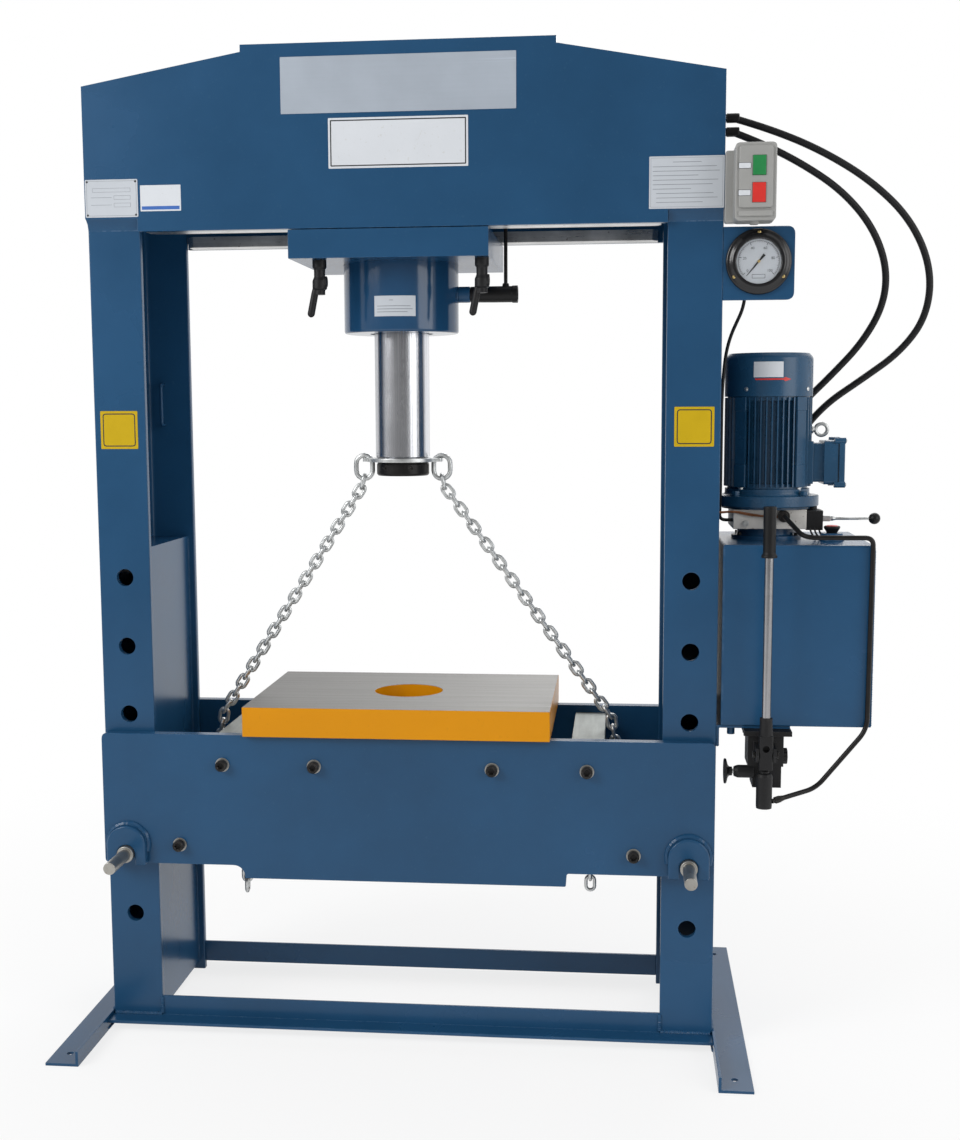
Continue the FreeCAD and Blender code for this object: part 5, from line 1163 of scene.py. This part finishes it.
seam = prism(rect(x0 + 1, x1 - 1, z0 + 1, z1 - 1, 8, 7), back - 1, back + 2, "y", 1)
rear = rounded(prism(rect(650.2, 736, 1700, 1838, 5), -199, -170.2, "y"), 2.0, 3)
panel = prism(rect(x0 + 7, x1 - 7, z0 + 24, z1 - 7, 6, 6), front + 8, front, "y")
panel = less(rounded(panel, 2.8, 4, angle=50), cuts)
ridge = prism(rect(x0 + 7, x1 - 7, z0 + 8, z0 + 19, 3), front + 8, front + 0.6, "y")
gland = lathed([(0, z0 - 5), (8, z0 - 5), (9.5, z0 + 1), (0, z0 + 1)], 0.8, 3, (704, -232, 0), "z", 32)
piece("switchBox", [less(case, cuts), seam, rear, panel, rounded(ridge, 2.4, 4, angle=50), gland] + strips
      + edging, ["greyPlastic", "blackPlastic", "plateWhite", "printBlack"])
for name, (z, look) in switch["buttons"].items():
    cap = prism(rect(middle - half, middle + half, z, z + switch["buttonTall"], 1.2), front - 2, front + 8,
                "y")
    piece(name, [rounded(cap, 0.9, 3)], look, cadName(name))

# Gauge on its bracket: the scale runs clockwise over its sweep, with a plain figure at every fifth part.
gauge = dict(x=719, y=-175, z=1626, needleTurn=40, scaleFrom=220, scaleSweep=260, parts=50, figures=6,
             figureAt=28.5)
x = gauge["x"]
y = gauge["y"]
z = gauge["z"]
at = (x, y, z)
start = gauge["scaleFrom"]
sweep = gauge["scaleSweep"]
outline = eased([(650, 1551), (790, 1551), (790, 1695), (650, 1695)], [0, 16, 16, 0], 8, closed=True)
plate = less(prism(outline, -175, -169, "y"), [prism(circle(x, z, 51, 64), -190, -150, "y")])
piece("gaugeBracket", [rounded(plate, 1.0, angle=50)], "bluePaint")

shells = [
    lathed([(50, -0.4), (64.4, -0.4), (65, -3), (63.4, -8), (57, -9.4), (51, -13.8), (46.5, -14),
            (44.2, -13), (43.6, -6), (43.6, 0)],
           [0.5, 0.6, 2.4, 2.6, 3, 2, 1, 1, 0.5, 0.5], 6, at, "y", 96, closed=True),
    lathed([(0, -6.2), (49.9, -6.2), (49.9, 58), (47, 60), (0, 60)], [0, 0, 1, 2, 0], 4, at, "y", 64),
    roundBar(9, -70, -45, 1, 3, (x - 20, -115, z), "z", 24, 1),
    roundBar(43.5, -6.3, -7, 0, 1, at, "y", 72, 2)]
for degrees in (90, 212, 328):
    u, w = polar(x, z, 56.5, degrees)
    shells.append(turned([(0, 2), (3.6, 2), (3.8, 0), (3.2, -1.2), (1.6, -1.9), (0, -2)],
                         (u, -184.2, w), "y", 24, 1))
    shells.append(prism(rect(u - 2.8, u + 2.8, w - 0.45, w + 0.45), -186.3, -185.4, "y"))
for k in range(gauge["parts"] + 1):
    inner, wide = (34.5, 0.55) if k % 10 == 0 else (36.5, 0.3) if k % 5 == 0 else (37.8, 0.3)
    mark = prism(rect(inner, 40.5, -wide, wide), -7.25, -6.9, "y", 3)
    shells.append(spun(mark, start - sweep * k / gauge["parts"], at, "y"))
track = np.vstack([arc(x, z, 40.6, start - sweep, start, 90), arc(x, z, 40.0, start, start - sweep, 90)])
shells += [prism(track, y - 7.25, y - 6.9, "y", 3),
           prism(rect(x - 13, x + 13, z - 33, z - 25, 1), y - 7.2, y - 6.9, "y", 3),
           prism(rect(x - 12.2, x + 12.2, z - 32.2, z - 25.8, 0.8), y - 7.3, y - 7.1, "y", 2)]
piece("gaugeCase", shells, ["glossBlack", "brass", "dialWhite", "printBlack"])

for k in range(gauge["figures"]):
    words = bpy.data.curves.new("scaleNumber%d" % k, "FONT")
    words.body = str(20 * k)
    words.size = 0.0075
    words.align_x = "CENTER"
    words.align_y = "CENTER"
    words.extrude = 0.0001
    points, faces, _ = shellOf(settled(placedThing("work", words)))
    bpy.data.curves.remove(words)
    points, same = np.unique(np.round(points, 4), axis=0, return_inverse=True)
    faces = [same.ravel()[face].tolist() for face in faces]
    u, w = polar(x, z, gauge["figureAt"], start - sweep * k / (gauge["figures"] - 1))
    piece("scaleNumber%d" % k, [(points[:, [0, 2, 1]] + (u, y - 7.1, w), faces, 0)], "printBlack")

hand = prism([(-0.5, -37), (0.5, -37), (1.6, -6), (1.6, 4), (2.8, 17), (-2.8, 17), (-1.6, 4), (-1.6, -6)],
             -8.5, -7.9, "y")
hub = roundBar(2.9, 1.5, -9.4, 0.5, 3, (0, 0, 0), "y", 24, 1)
piece("gaugeNeedle", [spun(q, -gauge["needleTurn"], at, "y") for q in (hand, hub)], ["printBlack", "brass"],
      "gauge_needle")


# Clear glass with faint smears in its roughness.
def makeGlass(name):
    material = bpy.data.materials.new(name)
    material.use_nodes = True
    tree = material.node_tree
    shader = tree.nodes["Principled BSDF"]
    noise = addNoise(tree, tree.nodes.new("ShaderNodeTexCoord").outputs["Object"], 30.0, 3.0)
    tree.links.new(addRange(tree, noise, 0.0, 1.0, 0.02, 0.08), shader.inputs["Roughness"])
    shader.inputs["Transmission Weight"].default_value = 1.0
    shader.inputs["IOR"].default_value = 1.1
    return material


made["gaugeGlass"] = makeGlass("gaugeGlass")
slots["gaugeGlass"] = "plate_white"
piece("gaugeGlass", [lathed([(0, -10.6), (43.8, -10.6), (43.8, -12.2), (0, -12.4)], 0.3, 3, at, "y", 72)],
      "gaugeGlass")

gaugeLine = dict(radius=3.5, bends=[20, 40, 50, 30, 14],
                 points=[(699, -127, 1580), (695, -125, 1540), (666, -80, 1470), (657, -85, 1380),
                         (657, -85, 1170), (658, -50, 1104), (686, -50, 1104)])
tube = swept(eased(gaugeLine["points"], [0] + gaugeLine["bends"] + [0], 10), gaugeLine["radius"], 16)
piece("gaugeLine", [tube], "blackPlastic", node="gauge_hose")


# Hexagon carried along an axis, its edges eased.
def hexNut(x, y, r, lo, hi, axis, finish=0):
    return rounded(prism(circle(x, y, r, 6), lo, hi, axis, finish), 1.2, 3)


# Hose ends: two straight ones in the column's side and two elbows behind the motor.
shells = []
for z in column["hoseZ"]:
    shells += [roundBar(9, 630, 650, 1, 3, (0, 0, z), "x", 32, 1), hexNut(0, z, 13.2, 650, 661, "x", 1),
               lathed([(0, 660), (8.4, 660), (8.4, 664), (9.9, 664), (9.9, 688), (9.0, 690), (7.6, 690),
                       (0, 678)], 0.6, 3, (0, 0, z), "x", 32, 1)]
for x in (806, 748):
    elbow = eased([(x, 96.2, 1105.5), (x, 150, 1105.5), (x, 150, 1128)], [0, 16, 0], 10)
    shells += [swept(elbow, 8.0, 24), hexNut(x, 1105.5, 12.5, 97, 109, "y"),
               hexNut(x, 150, 12.0, 1118, 1128, "z"),
               lathed([(0, 1127), (9.9, 1127), (9.9, 1150), (8.8, 1152), (7.6, 1152), (0, 1140)], 0.6, 3,
                      (x, 150, 0), "z", 32)]
piece("hoseFittings", shells, ["zinc", "blackOxide"])
print("controls made")


# Thin bare plate on the front; each border is a printed frame that stands out by a tenth of a millimetre.
def signPlate(x0, x1, z0, z1, y, thick, corner=2, borders=(), finish=0, ink=1):
    shells = [rounded(prism(rect(x0, x1, z0, z1, corner), y - thick, y, "y", finish), 0.2)]
    front = y - thick
    for inset, wide, radius in borders:
        a = inset + wide
        outer = rect(x0 + inset, x1 - inset, z0 + inset, z1 - inset, radius)
        inner = rect(x0 + a, x1 - a, z0 + a, z1 - a, max(radius - wide, 0.3))
        shells.append(less(prism(outer, front - 0.08, front + 0.1, "y", ink),
                           [prism(inner, front - 2, front + 2, "y")]))
    return shells


plates = signPlate(-236, 239, 1930, 2041, -190, 0.9, 1.5)
plates += signPlate(-140, 143, 1821, 1920, -190, 0.6, 1.5, [(4, 2.4, 2)], 2)
plates += signPlate(502, 649, 1730, 1831, -190, 0.5, 1.5, [(3, 0.5, 1)], 4, 5)
rules = ((548, 604), (509, 634), (509, 640), (509, 598), (509, 637), (509, 626), (509, 584), (516, 628),
         (516, 636), (516, 607))
for k, (start, end) in enumerate(rules):
    z = 1819 - 8.6 * k
    plates.append(prism(rect(start, end, z, z + 1.1), -190.57, -190.45, "y", 5))
plates += signPlate(-648, -537, 1733, 1809, -190, 0.9, 3, [(3, 0.6, 2)], 4, 5)
for x0, z0 in ((-633, 1783), (-588, 1768), (-588, 1753)):
    plates += signPlate(x0, -552, z0, z0 + 9, -190.9, 0.06, 1, [(0.4, 0.6, 0.8)], 4, 5)[1:]
for z in (1772.5, 1757.5):
    plates.append(prism(rect(-636, -592, z, z + 0.8), -190.97, -190.85, "y", 5))
for place in ((x, 0, z) for x in (-643.5, -541.5) for z in (1737.5, 1804.5)):
    plates.append(turned([(0, -190.6), (2.6, -190.6), (2.2, -191.1), (0, -191.2)], place, "y", 16, 1))
piece("frontPlates", plates, ["plateSilver", "printBlack", "plateWhite", "zinc", "plateGrey", "printGrey"],
      node="label_plates")
signs = signPlate(-637, -557, 1259, 1338, -175, 0.5, 2, [(5, 2.2, 7)])
signs += signPlate(557, 637, 1261, 1341, -175, 0.5, 2, [(5, 2.2, 7)])
signs += signPlate(-532, -447, 1744, 1796, -190, 0.4, 1, (), 2)
signs.append(prism(rect(-529, -450, 1747, 1754, 0.5), -190.5, -190.3, "y", 3))
piece("smallSigns", signs, ["signYellow", "printBlack", "plateWhite", "printBlue"], node="stickers")


# Label bent round an upright cylinder: x runs along the front, y = centre - sqrt(R^2 - (x - centre)^2).
def wrapped(centre, x0, x1, mid, half, thick=0.3, finish=0, n=24):
    cx, cy, radius = centre
    u = np.linspace(0, 1, n)
    x = x0 + (x1 - x0) * u
    h = np.array([half(t) for t in u])
    rings = [np.stack([x, cy - np.sqrt(r * r - (x - cx) ** 2), mid + s * h], -1)
             for r, s in ((radius + thick, -1), (radius + thick, 1), (radius - 0.5, 1), (radius - 0.5, -1))]
    ends = [[3, 2, 1, 0], [4 * n - 4, 4 * n - 3, 4 * n - 2, 4 * n - 1]]
    return np.stack(rings, 1).reshape(-1, 3), gridFaces(n, 4) + ends, finish


barrelAt = (cylinder["x"], 0, cylinder["radius"])
cowlAt = (motor["x"], motor["y"], motor["cowl"])
labels = [wrapped(barrelAt, -62, 24, 1552, lambda t: 21)]
for level, start, end in ((1540, -56, 8), (1546, -56, 18), (1552, -56, 14), (1564, -30, -22)):
    labels.append(wrapped(barrelAt, start, end, level, lambda t: 0.7, 0.38, 1))
piece("cylinderLabel", labels, ["plateGrey", "printGrey"], "carriage", angle=60)
piece("cowlLabel", [wrapped(cowlAt, 723, 783, 1417, lambda t: 16)], "plateWhite", angle=60)
arrow = wrapped(cowlAt, 726, 800, 1397, lambda t: 1.6 if t < 0.8 else 5.0 * (1 - t) / 0.2 + 0.05)
piece("turnArrow", [arrow], "redPlastic", angle=60)
print("plates made")

# Floor: near the press it keeps the shadow, further out it fades into plain white.
floorMaterial = bpy.data.materials.new("paleFloor")
floorMaterial.use_nodes = True
tree = floorMaterial.node_tree
rays = tree.nodes.new("ShaderNodeLightPath").outputs
mirrored = addMath(tree, "MAXIMUM", rays["Is Glossy Ray"], rays["Is Transmission Ray"])
seen = addMath(tree, "MAXIMUM", rays["Is Camera Ray"], mirrored)
matte = tree.nodes["Principled BSDF"]
matte.inputs["Base Color"].default_value = (0.9, 0.9, 0.9, 1)
matte.inputs["Roughness"].default_value = 0.9
glow = addNode(tree, "ShaderNodeEmission", [("Strength", 1.0)])
spot = tree.nodes.new("ShaderNodeTexCoord").outputs["Object"]
away = addNode(tree, "ShaderNodeVectorMath", [(0, spot)], operation="LENGTH").outputs["Value"]
share = addMath(tree, "MULTIPLY", seen, addRange(tree, away, 0.6, 2.6, 0.78, 1.0, "SMOOTHSTEP"))
mixed = addNode(tree, "ShaderNodeMixShader", [(0, share), (1, matte.outputs[0]), (2, glow.outputs[0])])
tree.links.new(mixed.outputs[0], tree.nodes["Material Output"].inputs[0])
floorMesh = bpy.data.meshes.new("floor")
floorMesh.from_pydata([(-9, -6, 0), (9, -6, 0), (9, 9, 0), (-9, 9, 0)], [], [(0, 1, 2, 3)])
floorMesh.materials.append(floorMaterial)
placedThing("floor", floorMesh)

# Sky: in mirrored light the room in front of the press is dimmer than the room behind and above it.
sky = bpy.data.worlds.new("softWhite")
sky.use_nodes = True
tree = sky.node_tree
rays = tree.nodes.new("ShaderNodeLightPath").outputs
toSky = addNode(tree, "ShaderNodeSeparateXYZ",
                [(0, tree.nodes.new("ShaderNodeTexCoord").outputs["Generated"])])
behind = addRange(tree, toSky.outputs["Y"], -0.75, 0.1, -0.28, 0.44, "SMOOTHSTEP")
level = addMath(tree, "ADD", addMath(tree, "MULTIPLY", rays["Is Glossy Ray"], behind), 0.56)
direct = addMath(tree, "MAXIMUM", rays["Is Camera Ray"], rays["Is Transmission Ray"])
tree.links.new(addMath(tree, "MAXIMUM", direct, level), tree.nodes["Background"].inputs["Strength"])
tree.nodes["Background"].inputs["Color"].default_value = (1, 1, 1, 1)
bpy.context.scene.world = sky

lamps = {
    "keyLamp": dict(place=(-3.3, -2.9, 3.2), aim=(0, 0, 1.0), size=2.2, power=115),
    "fillLamp": dict(place=(3.8, -2.5, 2.2), aim=(0.0, 0, 1.1), size=2.6, power=55),
    "backLamp": dict(place=(0.8, 3.2, 3.4), aim=(0, 0, 1.2), size=2.4, power=60),
}
for name, spec in lamps.items():
    light = bpy.data.lights.new(name, "AREA")
    light.size = spec["size"]
    light.energy = spec["power"]
    lamp = placedThing(name, light)
    back = np.array(spec["place"]) - spec["aim"]
    lamp.location = spec["place"]
    lamp.rotation_euler = (math.atan2(math.hypot(back[0], back[1]), back[2]), 0,
                           math.atan2(back[0], -back[1]))

bpy.context.scene.view_settings.view_transform = "Standard"
print("stage set")
